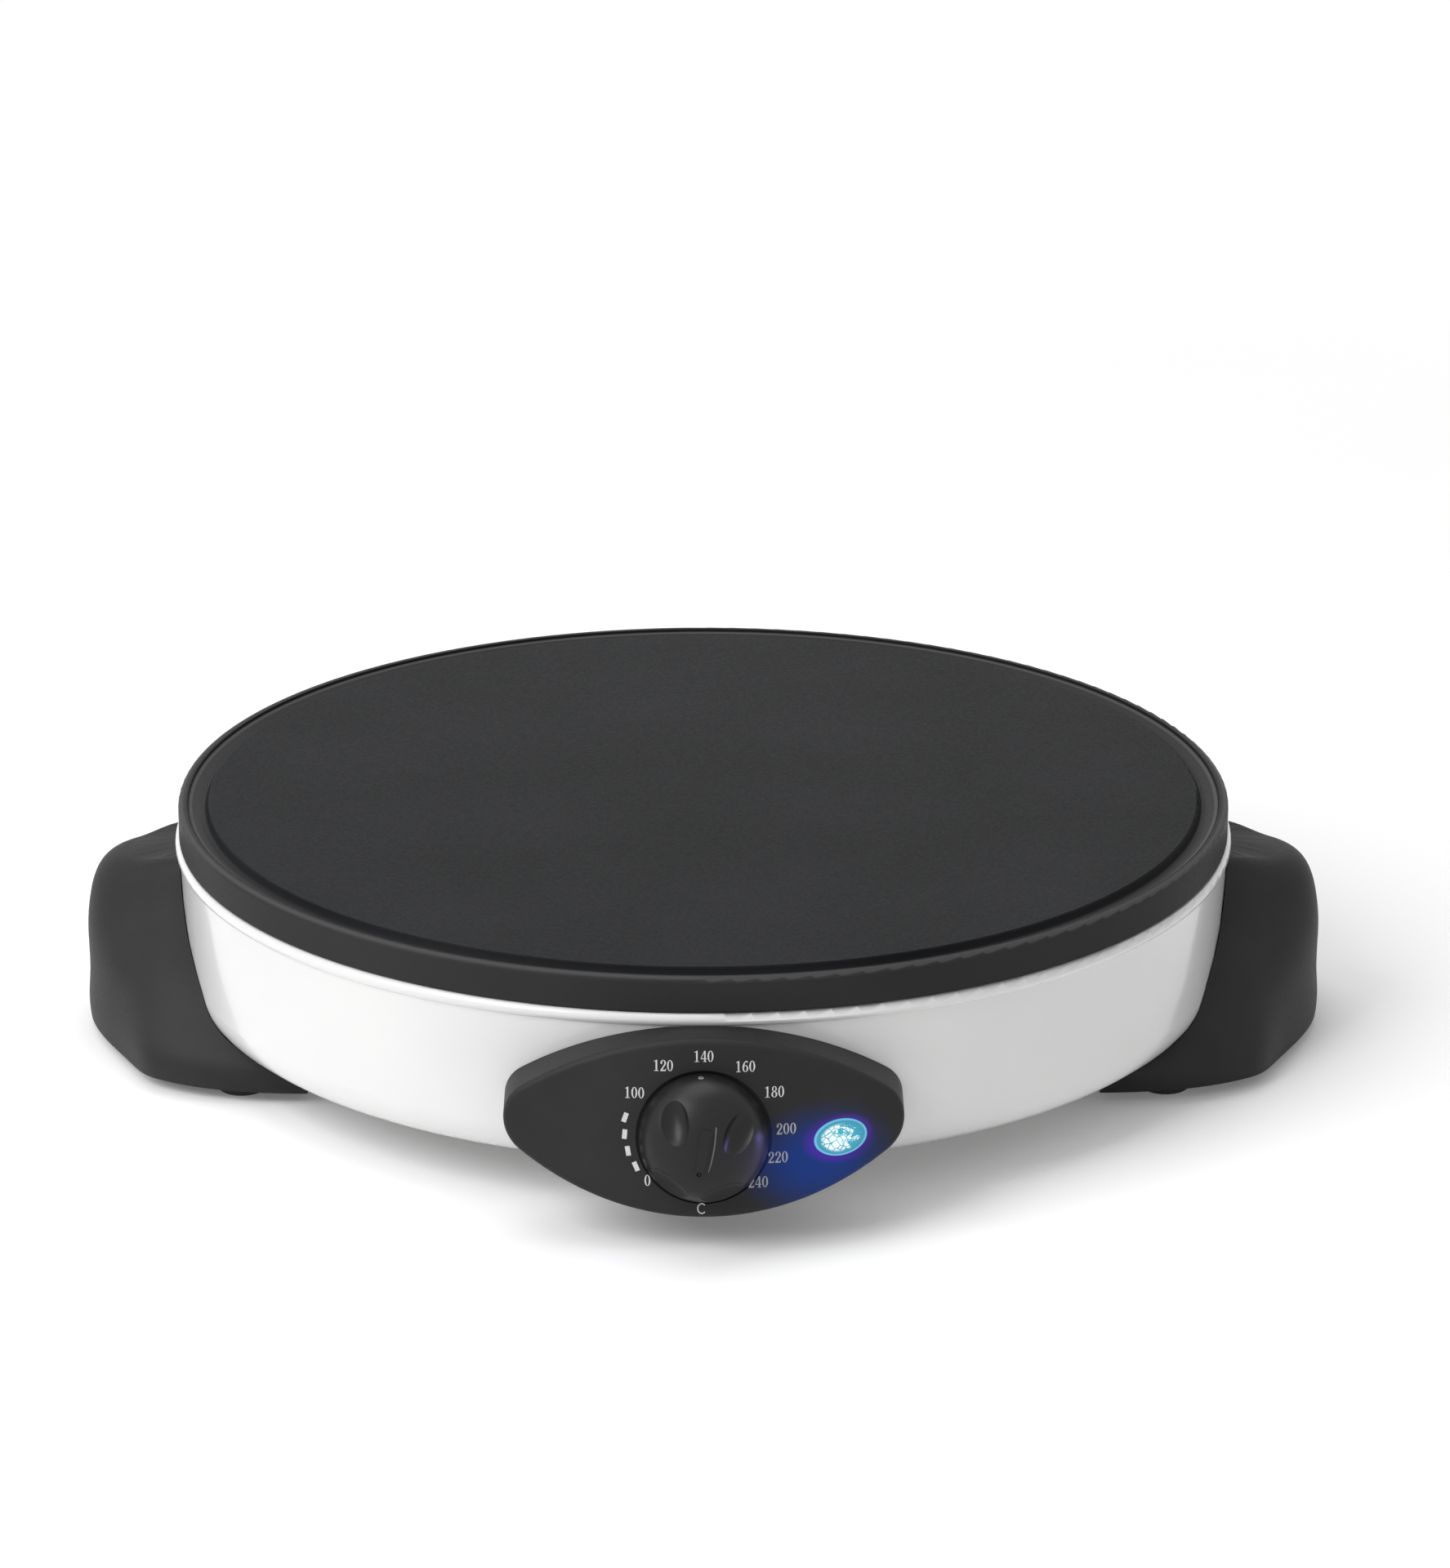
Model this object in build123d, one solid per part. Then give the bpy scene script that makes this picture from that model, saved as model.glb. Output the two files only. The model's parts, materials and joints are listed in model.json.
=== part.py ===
from build123d import *
import math
import os

# Electric crepe maker, millimetres, +Z up.
# The front, with the control panel, faces -Y.  Right is +X, as the user sees it.
# Every piece is modelled about the axis of the griddle plate.  On export it is shifted
# along Y, so that the origin is the middle of the footprint on the table.

# ------------------------------------------------------------------ driving sizes
# heights, from the table up
FOOT_STAND = 3.6
HOUSING_LIFT = 15.0
HOUSING_HEIGHT = 51.0
SKIRT_GAP = 0.3
SKIRT_HEIGHT = 10.7

# griddle plate
PLATE_RADIUS = 165.0
PLATE_THICKNESS = 6.5
SKIRT_WALL = 4.5
RIM_LAND = 3.0
RIM_STEP = 0.8
GUTTER_WIDTH = 4.4
GUTTER_DEPTH = 2.2
GUTTER_FLOOR = 1.0
GUTTER_BANK = 1.2
GUTTER_LIP = 0.2
SKIRT_DRAFT = 0.5
RIM_ROUND = 1.4
SKIRT_ROUND = 1.5
GUTTER_ROUND = 0.8
FLOOR_ROUND = 0.4
EDGE_ROUND = 0.3
BED_SETBACK = 60.0
BED_WALL = 3.0
BED_DEPTH = 5.0
BOSS_GAP = 0.5
BOSS_RADIUS = 7.0
BOSS_HEIGHT = 10.0
LUG_RADIUS = 4.0

# heating element and what holds it
ELEMENT_RADIUS = 3.5
ELEMENT_GAP_ANGLE = 16.0
ELEMENT_BEND = 8.0
ELEMENT_TAIL = 12.0
INSULATOR_RADIUS = 5.0
INSULATOR_HEIGHT = 6.0
INSULATOR_ROUND = 0.8
TAB_WIDTH = 6.3
TAB_THICKNESS = 0.8
TAB_HEIGHT = 9.0
TAB_CORNER = 1.0
TAB_HOLE = 0.9
CLIP_COUNT = 4
CLIP_WIDTH = 9.0
CLIP_THICKNESS = 1.2
CLIP_CORNER = 2.0

# heat shield and spacers
SHIELD_SETBACK = 15.0
SHIELD_THICKNESS = 0.8
SHIELD_LIP = 4.0
SHIELD_BEND = 2.0
SHIELD_TAIL_GAP = 2.0
SPACER_RADIUS = 5.5
SPACER_WALL = 2.6

# housing
HOUSING_TAPER = 1.3
HOUSING_CORNER = 12.0
HOUSING_SHEET = 1.2
BEAD_RADIUS = 2.0
BEAD_STANDOFF = 1.2
WINDOW_LEFT = 25.0
WINDOW_RIGHT = 40.0
WINDOW_BOTTOM = 18.0
WINDOW_TOP = 50.0
WINDOW_CORNER = 3.0

# bottom cover
COVER_SETBACK = 19.0
COVER_LAP = 10.0
COVER_SHEET = 1.2
COVER_SCREW_TAIL = 4.0
COVER_SCREW_ANGLES = (50.0, 90.0, 130.0, 230.0, 270.0, 310.0)
SLOT_LENGTH = 26.0
SLOT_WIDTH = 3.0
SLOT_COUNT = 7
SLOT_PITCH = 8.0
SLOT_BANK_Y = 62.0

# handles
HANDLE_OUT = 30.0
HANDLE_LAP = 43.0
HANDLE_TOP = 60.0
HANDLE_WALL = 3.0
HANDLE_BASE_HALF = 73.5
HANDLE_TOP_HALF = 30.0
HANDLE_FLARE_START = 5.0
HANDLE_FLARE_END = 48.0
HANDLE_ROUND_DEPTH = 28.0
HANDLE_ROUND_REACH = 13.0
HANDLE_ROUND_HALF = 8.0
HANDLE_ROUND_POWER = 2.4
HANDLE_SQUARENESS = 0.66
HANDLE_SECTIONS = 7
HANDLE_SPACING = 1.5
HANDLE_RIB = 2.2
HANDLE_RIB_PITCH = 24.0
HANDLE_SCREW_HEIGHT = 43.0
HANDLE_SCREW_INSET = 12.0
HANDLE_BOSS_RADIUS = 4.5
HANDLE_BOSS_LENGTH = 12.0

# feet
FOOT_SETBACK = 22.0
FOOT_INSET = 14.5
FOOT_RADIUS = 8.0
FOOT_RECESS = 1.5
FOOT_WELL_RADIUS = 4.4
FOOT_WELL_DEPTH = 2.8
FOOT_CHAMFER = 0.8
FOOT_ROOF = 0.8

# control panel
PANEL_TOP = 62.6
PANEL_HEIGHT = 52.3
PANEL_ARC_RADIUS = 94.0
PANEL_TIP_RADIUS = 11.3
PANEL_DEPTH = 12.0
PANEL_TILT = 10.4
PANEL_WALL = 2.6
PANEL_EDGE = 2.0
PANEL_LAP = 13.0
PANEL_POST_INSET = 4.8
PANEL_POST_RADIUS = 4.2
PANEL_POST_HOLE = 9.0
PANEL_RECESS_PLAY = 0.9
KNOB_DOWN = 28.7
KNOB_SINK = 2.0
PAD_MARGIN = 3.0
PAD_THICKNESS = 2.4

# temperature knob, measured along its own axis
KNOB_RADIUS = 18.9
KNOB_HEIGHT = 17.0
KNOB_SKIRT = 2.2
KNOB_SHOULDER = 12.7
KNOB_FLAT = 0.3
KNOB_FLOAT = 0.5
KNOB_WALL = 2.3
KNOB_HUB_RADIUS = 5.5
KNOB_BORE_DEPTH = 9.5
SHAFT_CHAMFER = 0.4
KNOB_TURN = -10.0
DENT_LENGTH = 9.8
DENT_WIDTH = 5.4
DENT_RAISE = 2.9
UPPER_DENT_ANGLE = 60.0
UPPER_DENT_RADIUS = 11.0
UPPER_DENT_SPREAD = 22.0
LOWER_DENT_ANGLE = 150.0
LOWER_DENT_RADIUS = 16.0
LOWER_DENT_SPREAD = 62.0
RIDGE_TOP = 5.5
RIDGE_BOTTOM = -9.0
RIDGE_TOP_HALF = 1.9
RIDGE_BOTTOM_HALF = 1.1
RIDGE_RISE = 0.7
RIDGE_DOT_RADIUS = 0.8
RIDGE_CORNER = 0.88

# thermostat
SHAFT_RADIUS = 3.0
SHAFT_FLAT = 0.8
SHAFT_TAIL = 6.0
BUSHING_RADIUS = 5.0
THERMOSTAT_WIDTH = 32.0
THERMOSTAT_HEIGHT = 27.0
THERMOSTAT_DEPTH = 15.0
THERMOSTAT_SCREW_PITCH = 28.0
THERMOSTAT_SCREW_REACH = 8.0
THERMOSTAT_CORNER = 3.0
THERMOSTAT_BLADE_EDGE = 2.5
DIAPHRAGM_RADIUS = 10.0
DIAPHRAGM_DEPTH = 4.0
CAPILLARY_RADIUS = 0.9
CAPILLARY_LEAD = 14.0
CAPILLARY_SIDE = 10.0
CAPILLARY_LIFT = 12.0
CAPILLARY_DIP = 3.0
CAPILLARY_END = 8.0
CAPILLARY_BENDS = (6.0, 6.0, 4.0, 4.0)
BULB_RADIUS = 3.0
BULB_LENGTH = 56.0
BULB_ROUND = 1.2
BULB_SETBACK = 47.0
SADDLE_SHEET = 1.0
SADDLE_WIDTH = 8.0
SADDLE_FOOT = 8.0

# signal lamp
LAMP_INSET = 18.8
LAMP_HEIGHT = 32.8
LAMP_HALF_WIDTH = 8.0
LAMP_HALF_HEIGHT = 5.35
LAMP_TURN = 9.0
LAMP_PROUD = 0.8
LAMP_FLANGE = 1.2
LAMP_BODY_RADIUS = 3.6
LAMP_BODY_DEPTH = 8.0
LAMP_COLLAR = 1.0
LAMP_COLLAR_DEPTH = 1.5
LAMP_CROWN = 60.0

# cord inlet and wiring
INLET_HEIGHT = 38.0
INLET_BORE = 3.8
INLET_NECK = 6.5
INLET_FLANGE = 9.5
INLET_PROUD = 3.0
INLET_INSIDE = 9.0
INLET_ROUND = 1.4
INLET_NUT_HEIGHT = 4.0
BLOCK_SETBACK = 43.0
BLOCK_LENGTH = 32.0
BLOCK_WIDTH = 18.0
BLOCK_HEIGHT = 14.0
BLOCK_POLES = 3
POLE_PITCH = 9.5
POLE_BORE = 2.2
POLE_WELL = 2.0
BLOCK_EAR = 3.0
BLOCK_CORNER = 1.5
FUSE_SETBACK = 34.2
FUSE_ANGLE = 47.3
FUSE_RADIUS = 2.4
FUSE_LENGTH = 14.0
FUSE_ROUND = 0.8
FUSE_LEAD_RADIUS = 0.6
FUSE_LEAD = 8.0
EARTH_X = -34.0
EARTH_SETBACK = 47.0
EARTH_RING = 4.0
EARTH_BLADE = 14.0
EARTH_SHEET = 0.8

# fasteners: shank radius, and head radius and height
HEAD_ROUND = 0.4
PLATE_SCREW = (2.5, 4.6, 3.2)
SMALL_SCREW = (1.5, 2.9, 1.9)
FOOT_SCREW = (1.7, 3.5, 2.2)

# clearances
FIT = 0.05
HOLE_PLAY = 0.3
SEAT = 0.3
PART_GAP = 0.3
WALL_SEAT = 0.15
TIP_GAP = 0.5
FOOT_FIT = 0.1
OVERRUN = 5.0

# ------------------------------------------------------------------ derived sizes and levels
HOUSING_RADIUS = PLATE_RADIUS
BED_RADIUS = PLATE_RADIUS - BED_SETBACK
BOSS_CIRCLE = BED_RADIUS + ELEMENT_RADIUS + BED_WALL + BOSS_GAP + BOSS_RADIUS
SHIELD_RADIUS = HOUSING_RADIUS - SHIELD_SETBACK
COVER_RADIUS = HOUSING_RADIUS - COVER_SETBACK
FLANGE_RADIUS = COVER_RADIUS - COVER_LAP
COVER_SCREW_CIRCLE = COVER_RADIUS - COVER_LAP / 2
HANDLE_REACH = HOUSING_RADIUS + HANDLE_OUT
HANDLE_INNER = HOUSING_RADIUS - HANDLE_LAP
FOOT_X = HOUSING_RADIUS - FOOT_SETBACK
FOOT_Y = HANDLE_BASE_HALF - FOOT_INSET
HANDLE_SCREW_TURN = math.degrees(math.asin((HANDLE_TOP_HALF - HANDLE_SCREW_INSET) / HOUSING_RADIUS))
HANDLE_SCREW_ANGLES = (-HANDLE_SCREW_TURN, 0.0, HANDLE_SCREW_TURN)
PANEL_BACK = HOUSING_RADIUS - PANEL_LAP
BULB_Y = BULB_SETBACK - BED_RADIUS
FUSE_X = (BED_RADIUS - FUSE_SETBACK) * math.cos(math.radians(FUSE_ANGLE))
FUSE_Y = (BED_RADIUS - FUSE_SETBACK) * math.sin(math.radians(FUSE_ANGLE))
BLOCK_Y = HOUSING_RADIUS - BLOCK_SETBACK
EARTH_Y = HOUSING_RADIUS - EARTH_SETBACK
CREST_Z = HOUSING_LIFT + HOUSING_HEIGHT + SKIRT_GAP + SKIRT_HEIGHT
UNDERSIDE_Z = CREST_Z - PLATE_THICKNESS
BED_Z = UNDERSIDE_Z - BED_DEPTH
ELEMENT_Z = BED_Z + ELEMENT_RADIUS
BOSS_Z = UNDERSIDE_Z - BOSS_HEIGHT
SHIELD_Z = BOSS_Z - SHIELD_THICKNESS
COVER_Z = HOUSING_LIFT - COVER_SHEET
BEAD_Z = HOUSING_LIFT + HOUSING_HEIGHT - BEAD_RADIUS
BEAD_CIRCLE = HOUSING_RADIUS + BEAD_STANDOFF - BEAD_RADIUS
TAPER_SLOPE = HOUSING_TAPER / HOUSING_HEIGHT
PANEL_MIDDLE = PANEL_TOP - PANEL_HEIGHT / 2
PANEL_ARC_OFFSET = PANEL_ARC_RADIUS - PANEL_HEIGHT / 2
PANEL_TIP_X = math.sqrt((PANEL_ARC_RADIUS - PANEL_TIP_RADIUS) ** 2 - PANEL_ARC_OFFSET**2)
PANEL_HALF_WIDTH = PANEL_TIP_X + PANEL_TIP_RADIUS
LAMP_X = PANEL_HALF_WIDTH - LAMP_INSET
PANEL_SLOPE = math.tan(math.radians(PANEL_TILT))
FACE_TOP_RADIUS = HOUSING_RADIUS + PANEL_DEPTH
KNOB_Z = PANEL_TOP - KNOB_DOWN * math.cos(math.radians(PANEL_TILT))
KNOB_Y = -(FACE_TOP_RADIUS + KNOB_DOWN * math.sin(math.radians(PANEL_TILT)))
KNOB_BASE = KNOB_FLOAT - KNOB_SINK
KNOB_APEX = KNOB_BASE + KNOB_HEIGHT
PAD_BACK = KNOB_SINK + PAD_THICKNESS
FRONT_REACH = -KNOB_Y + KNOB_APEX * math.cos(math.radians(PANEL_TILT))
REAR_REACH = HOUSING_RADIUS + INLET_PROUD
AXIS_Y = (FRONT_REACH - REAR_REACH) / 2

# The face of the control panel where the knob stands: x to the right, y up, z out.
KNOB_PLANE = Plane(
    origin=(0, KNOB_Y, KNOB_Z),
    x_dir=(1, 0, 0),
    z_dir=(0, -math.cos(math.radians(PANEL_TILT)), math.sin(math.radians(PANEL_TILT))),
)


# ------------------------------------------------------------------ helpers
def turned(points, radii):
    """Solid turned about Z from a closed outline of (radius, height) points."""
    corners = [(radius, 0, height) for radius, height in points]
    outline = FilletPolyline(*corners, radius=radii, close=True)
    return revolve(make_face(outline), Axis.Z)


def tube(outer, inner, height):
    """Upright tube standing on z = 0."""
    bottom = (Align.CENTER, Align.CENTER, Align.MIN)
    return Cylinder(outer, height, align=bottom) - Cylinder(inner, height, align=bottom)


def rod(radius, height):
    """Upright rod standing on z = 0."""
    return Cylinder(radius, height, align=(Align.CENTER, Align.CENTER, Align.MIN))


def screw(kind, length):
    """Pan head screw: the head seats on z = 0 from below and the shank points up."""
    shank, head, head_height = kind
    cap = Pos(0, 0, -head_height) * rod(head, head_height)
    cap = fillet(cap.edges().sort_by(Axis.Z)[0], head_height * HEAD_ROUND)
    return cap + rod(shank, length)


def around(radius, angles):
    """Places on a circle about the plate's axis, turned to face outwards."""
    return [Rot(0, 0, angle) * Pos(radius, 0, 0) for angle in angles]


def outwards(angle, radius, height):
    """Place whose own Z axis points outwards from the plate's axis."""
    return Rot(0, 0, angle) * Pos(radius, 0, height) * Rot(0, 90, 0)


def gathered(shapes):
    """Several separate solids as one piece."""
    return Compound([solid for shape in shapes for solid in shape.solids()])


def wall_radius(height):
    """Outer radius of the housing wall at a height."""
    return HOUSING_RADIUS - (BEAD_Z - height) * TAPER_SLOPE


def export(name, shape):
    shape = Pos(0, AXIS_Y, 0) * shape
    export_step(shape, f"parts/{name}.step")


# ------------------------------------------------------------------ griddle plate
BOSS_ANGLES = [45.0 + 90.0 * quarter for quarter in range(4)]
CLIP_ANGLES = [360.0 / CLIP_COUNT * turn for turn in range(CLIP_COUNT)]
LUG_CIRCLE = BED_RADIUS - ELEMENT_RADIUS - BED_WALL / 2 - LUG_RADIUS


def saddle_lugs():
    """Where the sensor's and the fuse's saddles are screwed to the plate."""
    bulb_side = BULB_RADIUS + SADDLE_FOOT / 2 + SADDLE_SHEET
    fuse_side = FUSE_RADIUS + SADDLE_FOOT / 2 + SADDLE_SHEET
    return [(0, BULB_Y + bulb_side), (FUSE_X, FUSE_Y + fuse_side)]


def griddle_plate():
    crest = CREST_Z
    land = PLATE_RADIUS - RIM_LAND
    gutter = land - GUTTER_WIDTH
    bank = gutter - GUTTER_FLOOR
    skirt = PLATE_RADIUS - SKIRT_WALL
    points = [
        (0, crest),
        (bank - GUTTER_BANK, crest),
        (bank, crest - GUTTER_DEPTH),
        (gutter, crest - GUTTER_DEPTH),
        (land - GUTTER_LIP, crest - RIM_STEP),
        (land, crest),
        (PLATE_RADIUS, crest),
        (PLATE_RADIUS, crest - SKIRT_HEIGHT),
        (skirt, crest - SKIRT_HEIGHT),
        (skirt - SKIRT_DRAFT, UNDERSIDE_Z),
        (0, UNDERSIDE_Z),
    ]
    gutter_radii = [GUTTER_ROUND, FLOOR_ROUND, GUTTER_ROUND, EDGE_ROUND, EDGE_ROUND]
    skirt_radii = [RIM_ROUND, SKIRT_DRAFT, SKIRT_DRAFT, SKIRT_ROUND]
    plate = turned(points, [0, *gutter_radii, *skirt_radii, 0])
    plate += element_bed()
    plate -= element_channel()
    for side in (-1, 1):
        plate -= element_place(side) * tail_room(side)
    for place in around(BOSS_CIRCLE, BOSS_ANGLES):
        plate += place * Pos(0, 0, BOSS_Z) * rod(BOSS_RADIUS, BOSS_HEIGHT + FIT)
        hole = PLATE_SCREW[0] + FIT
        plate -= place * Pos(0, 0, BOSS_Z) * rod(hole, BOSS_HEIGHT)
    for place in around(LUG_CIRCLE, CLIP_ANGLES):
        plate += place * Pos(0, 0, BED_Z) * rod(LUG_RADIUS, BED_DEPTH + FIT)
        plate -= place * Pos(0, 0, BED_Z) * rod(SMALL_SCREW[0] + FIT, BED_DEPTH)
    for x, y in saddle_lugs():
        hole = SMALL_SCREW[0] + FIT
        plate -= Pos(x, y, UNDERSIDE_Z) * rod(hole, PLATE_THICKNESS / 2)
    return plate


def element_bed():
    """Ring on the underside that the tubular element lies in."""
    outer = BED_RADIUS + ELEMENT_RADIUS + BED_WALL
    inner = BED_RADIUS - ELEMENT_RADIUS - BED_WALL
    return Pos(0, 0, BED_Z) * tube(outer, inner, BED_DEPTH + FIT)


def element_channel():
    """Room for the element, open downwards."""
    groove = ELEMENT_RADIUS + FIT
    mouth = Pos(0, -BED_DEPTH / 2) * Rectangle(2 * groove, BED_DEPTH)
    section = Pos(BED_RADIUS, ELEMENT_Z) * (Circle(groove) + mouth)
    return revolve(Plane.XZ * section, Axis.Z)


def tail_room(side):
    """Widening of the channel where a tail of the element turns down."""
    width = 2 * (ELEMENT_RADIUS + PART_GAP)
    reach = ELEMENT_BEND + width / 2
    room = Box(width, reach, BED_DEPTH, align=(Align.CENTER, Align.CENTER, Align.MAX))
    return Pos(0, -side * reach / 2, 0) * room


# ------------------------------------------------------------------ heating element
def heating_element():
    """Almost a full ring, with both ends bent down to the terminals."""
    gap = ELEMENT_GAP_ANGLE
    section = Plane.XZ * Pos(BED_RADIUS, ELEMENT_Z) * Circle(ELEMENT_RADIUS)
    loop = Rot(0, 0, 90 + gap) * revolve(section, Axis.Z, 360 - 2 * gap)
    for side in (-1, 1):
        loop += element_place(side) * element_tail(side)
    return loop


def element_place(side):
    """End of the ring on one side of the rear, x outwards and y along the ring."""
    return Rot(0, 0, 90 + side * ELEMENT_GAP_ANGLE) * Pos(BED_RADIUS, 0, ELEMENT_Z)


def element_tail(side):
    pivot = Axis((0, 0, -ELEMENT_BEND), (1, 0, 0))
    circle = Plane.XZ * Circle(ELEMENT_RADIUS)
    bend = revolve(circle, pivot, side * 90)
    drop = ELEMENT_BEND + ELEMENT_TAIL
    tail = Pos(0, -side * ELEMENT_BEND, -drop) * rod(ELEMENT_RADIUS, ELEMENT_TAIL)
    return bend + tail


def tail_foot(side):
    """Lower end of a tail of the element."""
    drop = ELEMENT_BEND + ELEMENT_TAIL
    return element_place(side) * Pos(0, -side * ELEMENT_BEND, -drop)


def element_insulators():
    bead = fillet(rod(INSULATOR_RADIUS, INSULATOR_HEIGHT).edges(), INSULATOR_ROUND)
    return gathered(tail_foot(side) * Pos(0, 0, -INSULATOR_HEIGHT) * bead for side in (-1, 1))


def element_tabs():
    blade = Box(TAB_WIDTH, TAB_THICKNESS, TAB_HEIGHT)
    blade = chamfer(blade.edges().filter_by(Axis.Y).group_by(Axis.Z)[0], TAB_CORNER)
    blade -= Rot(90, 0, 0) * Cylinder(TAB_HOLE, 2 * TAB_THICKNESS)
    drop = INSULATOR_HEIGHT + TAB_HEIGHT / 2
    return gathered(tail_foot(side) * Pos(0, 0, -drop) * blade for side in (-1, 1))


def clip_reach():
    """How far a clip runs outwards past the element."""
    return ELEMENT_RADIUS + BED_WALL


def element_clips():
    length = 2 * LUG_RADIUS + BED_RADIUS + clip_reach() - (LUG_CIRCLE + LUG_RADIUS)
    strap = Box(length, CLIP_WIDTH, CLIP_THICKNESS, align=(Align.MIN, Align.CENTER, Align.MAX))
    strap = fillet(strap.edges().filter_by(Axis.Z), CLIP_CORNER)
    strap = Pos(-LUG_RADIUS, 0, BED_Z) * strap
    hole = SMALL_SCREW[0] + HOLE_PLAY
    strap -= Pos(0, 0, BED_Z - CLIP_THICKNESS) * rod(hole, CLIP_THICKNESS)
    return gathered(place * strap for place in around(LUG_CIRCLE, CLIP_ANGLES))


def clip_screws():
    seat = BED_Z - CLIP_THICKNESS
    length = CLIP_THICKNESS + BED_DEPTH - TIP_GAP
    body = Pos(0, 0, seat) * screw(SMALL_SCREW, length)
    return gathered(place * body for place in around(LUG_CIRCLE, CLIP_ANGLES))


# ------------------------------------------------------------------ shield and spacers
def heat_shield():
    top = SHIELD_Z + SHIELD_THICKNESS
    lip = top + SHIELD_LIP
    inner = SHIELD_RADIUS - SHIELD_THICKNESS
    points = [
        (0, SHIELD_Z),
        (SHIELD_RADIUS, SHIELD_Z),
        (SHIELD_RADIUS, lip),
        (inner, lip),
        (inner, top),
        (0, top),
    ]
    shield = turned(points, [0, SHIELD_BEND, 0, 0, SHIELD_BEND - SHIELD_THICKNESS, 0])
    for place in around(BOSS_CIRCLE, BOSS_ANGLES):
        shield -= place * Pos(0, 0, SHIELD_Z) * rod(PLATE_SCREW[0] + HOLE_PLAY, SHIELD_THICKNESS)
    for side in (-1, 1):
        shield -= tail_foot(side) * rod(ELEMENT_RADIUS + SHIELD_TAIL_GAP, ELEMENT_TAIL)
    shield -= Pos(*capillary_rise(), SHIELD_Z) * rod(4 * CAPILLARY_RADIUS, SHIELD_THICKNESS)
    return shield


def plate_spacers():
    body = tube(SPACER_RADIUS, SPACER_RADIUS - SPACER_WALL, SHIELD_Z - HOUSING_LIFT)
    return gathered(
        place * Pos(0, 0, HOUSING_LIFT) * body for place in around(BOSS_CIRCLE, BOSS_ANGLES)
    )


def plate_screws():
    length = BOSS_Z - COVER_Z + BOSS_HEIGHT - 2 * TIP_GAP
    body = Pos(0, 0, COVER_Z) * screw(PLATE_SCREW, length)
    return gathered(place * body for place in around(BOSS_CIRCLE, BOSS_ANGLES))


# ------------------------------------------------------------------ housing
def housing_outline(grow):
    """Outer line of the wall and its lower corner, moved outwards by a gap."""
    top = BEAD_Z
    low = HOUSING_LIFT - grow
    return (wall_radius(top) + grow, top), (wall_radius(low) + grow, low)


def housing_shell():
    (top_radius, top), (low_radius, low) = housing_outline(0)
    inner_low = low + HOUSING_SHEET
    points = [
        (top_radius, top),
        (low_radius, low),
        (FLANGE_RADIUS, low),
        (FLANGE_RADIUS, inner_low),
        (wall_radius(inner_low) - HOUSING_SHEET, inner_low),
        (top_radius - HOUSING_SHEET, top),
    ]
    shell = turned(points, [0, HOUSING_CORNER, 0, 0, HOUSING_CORNER - HOUSING_SHEET, 0])
    shell += Pos(0, 0, BEAD_Z) * Torus(BEAD_CIRCLE, BEAD_RADIUS)
    shell -= window()
    shell -= inlet_place() * rod(INLET_NECK + FIT, 4 * HOUSING_SHEET)
    for angle in handle_screw_angles():
        shell -= wall_hole(angle, HANDLE_SCREW_HEIGHT)
    for angle in panel_screw_angles():
        shell -= wall_hole(angle, PANEL_MIDDLE)
    for place in around(COVER_SCREW_CIRCLE, COVER_SCREW_ANGLES):
        shell -= place * Pos(0, 0, low) * rod(SMALL_SCREW[0] + FIT, HOUSING_SHEET)
    return shell


def wall_hole(angle, height):
    """Clearance hole through the wall for a small screw."""
    start = wall_radius(height) - 2 * HOUSING_SHEET
    return outwards(angle, start, height) * rod(SMALL_SCREW[0] + HOLE_PLAY, 4 * HOUSING_SHEET)


def window():
    """Opening behind the control panel for the thermostat and the wiring."""
    width = WINDOW_LEFT + WINDOW_RIGHT
    height = WINDOW_TOP - WINDOW_BOTTOM
    cutter = Box(width, 4 * HOUSING_CORNER, height, align=(Align.MIN, Align.MIN, Align.MIN))
    cutter = fillet(cutter.edges().filter_by(Axis.Y), WINDOW_CORNER)
    return Pos(-WINDOW_LEFT, -HOUSING_RADIUS - OVERRUN, WINDOW_BOTTOM) * cutter


def housing_envelope(gap):
    """Space that the housing and its bottom cover take up, grown by a gap."""
    (top_radius, top), (low_radius, low) = housing_outline(gap)
    above = CREST_Z + OVERRUN
    points = [
        (0, COVER_Z - gap),
        (COVER_RADIUS + gap, COVER_Z - gap),
        (COVER_RADIUS + gap, low),
        (low_radius, low),
        (top_radius, top),
        (top_radius, above),
        (0, above),
    ]
    space = turned(points, [0, 0, 0, HOUSING_CORNER + gap, 0, 0, 0])
    return space + Pos(0, 0, BEAD_Z) * Torus(BEAD_CIRCLE, BEAD_RADIUS + gap)


def bottom_cover():
    cover = Pos(0, 0, COVER_Z) * rod(COVER_RADIUS, COVER_SHEET)
    for place in around(BOSS_CIRCLE, BOSS_ANGLES):
        cover -= place * Pos(0, 0, COVER_Z) * rod(PLATE_SCREW[0] + HOLE_PLAY, COVER_SHEET)
    for place in around(COVER_SCREW_CIRCLE, COVER_SCREW_ANGLES):
        cover -= place * Pos(0, 0, COVER_Z) * rod(SMALL_SCREW[0] + HOLE_PLAY, COVER_SHEET)
    for x, y in cover_holes():
        cover -= Pos(x, y, COVER_Z) * rod(SMALL_SCREW[0] + FIT, COVER_SHEET)
    slot = extrude(SlotOverall(SLOT_LENGTH, SLOT_WIDTH, rotation=90), 2 * COVER_SHEET, both=True)
    first = -SLOT_PITCH * (SLOT_COUNT - 1) / 2
    for bank in (-SLOT_BANK_Y, SLOT_BANK_Y):
        for index in range(SLOT_COUNT):
            cover -= Pos(first + index * SLOT_PITCH, bank, COVER_Z) * slot
    return cover


def cover_holes():
    """Tapped holes in the cover for the terminal block and the earth screw."""
    return [*block_screw_places(), (EARTH_X, EARTH_Y)]


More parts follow.
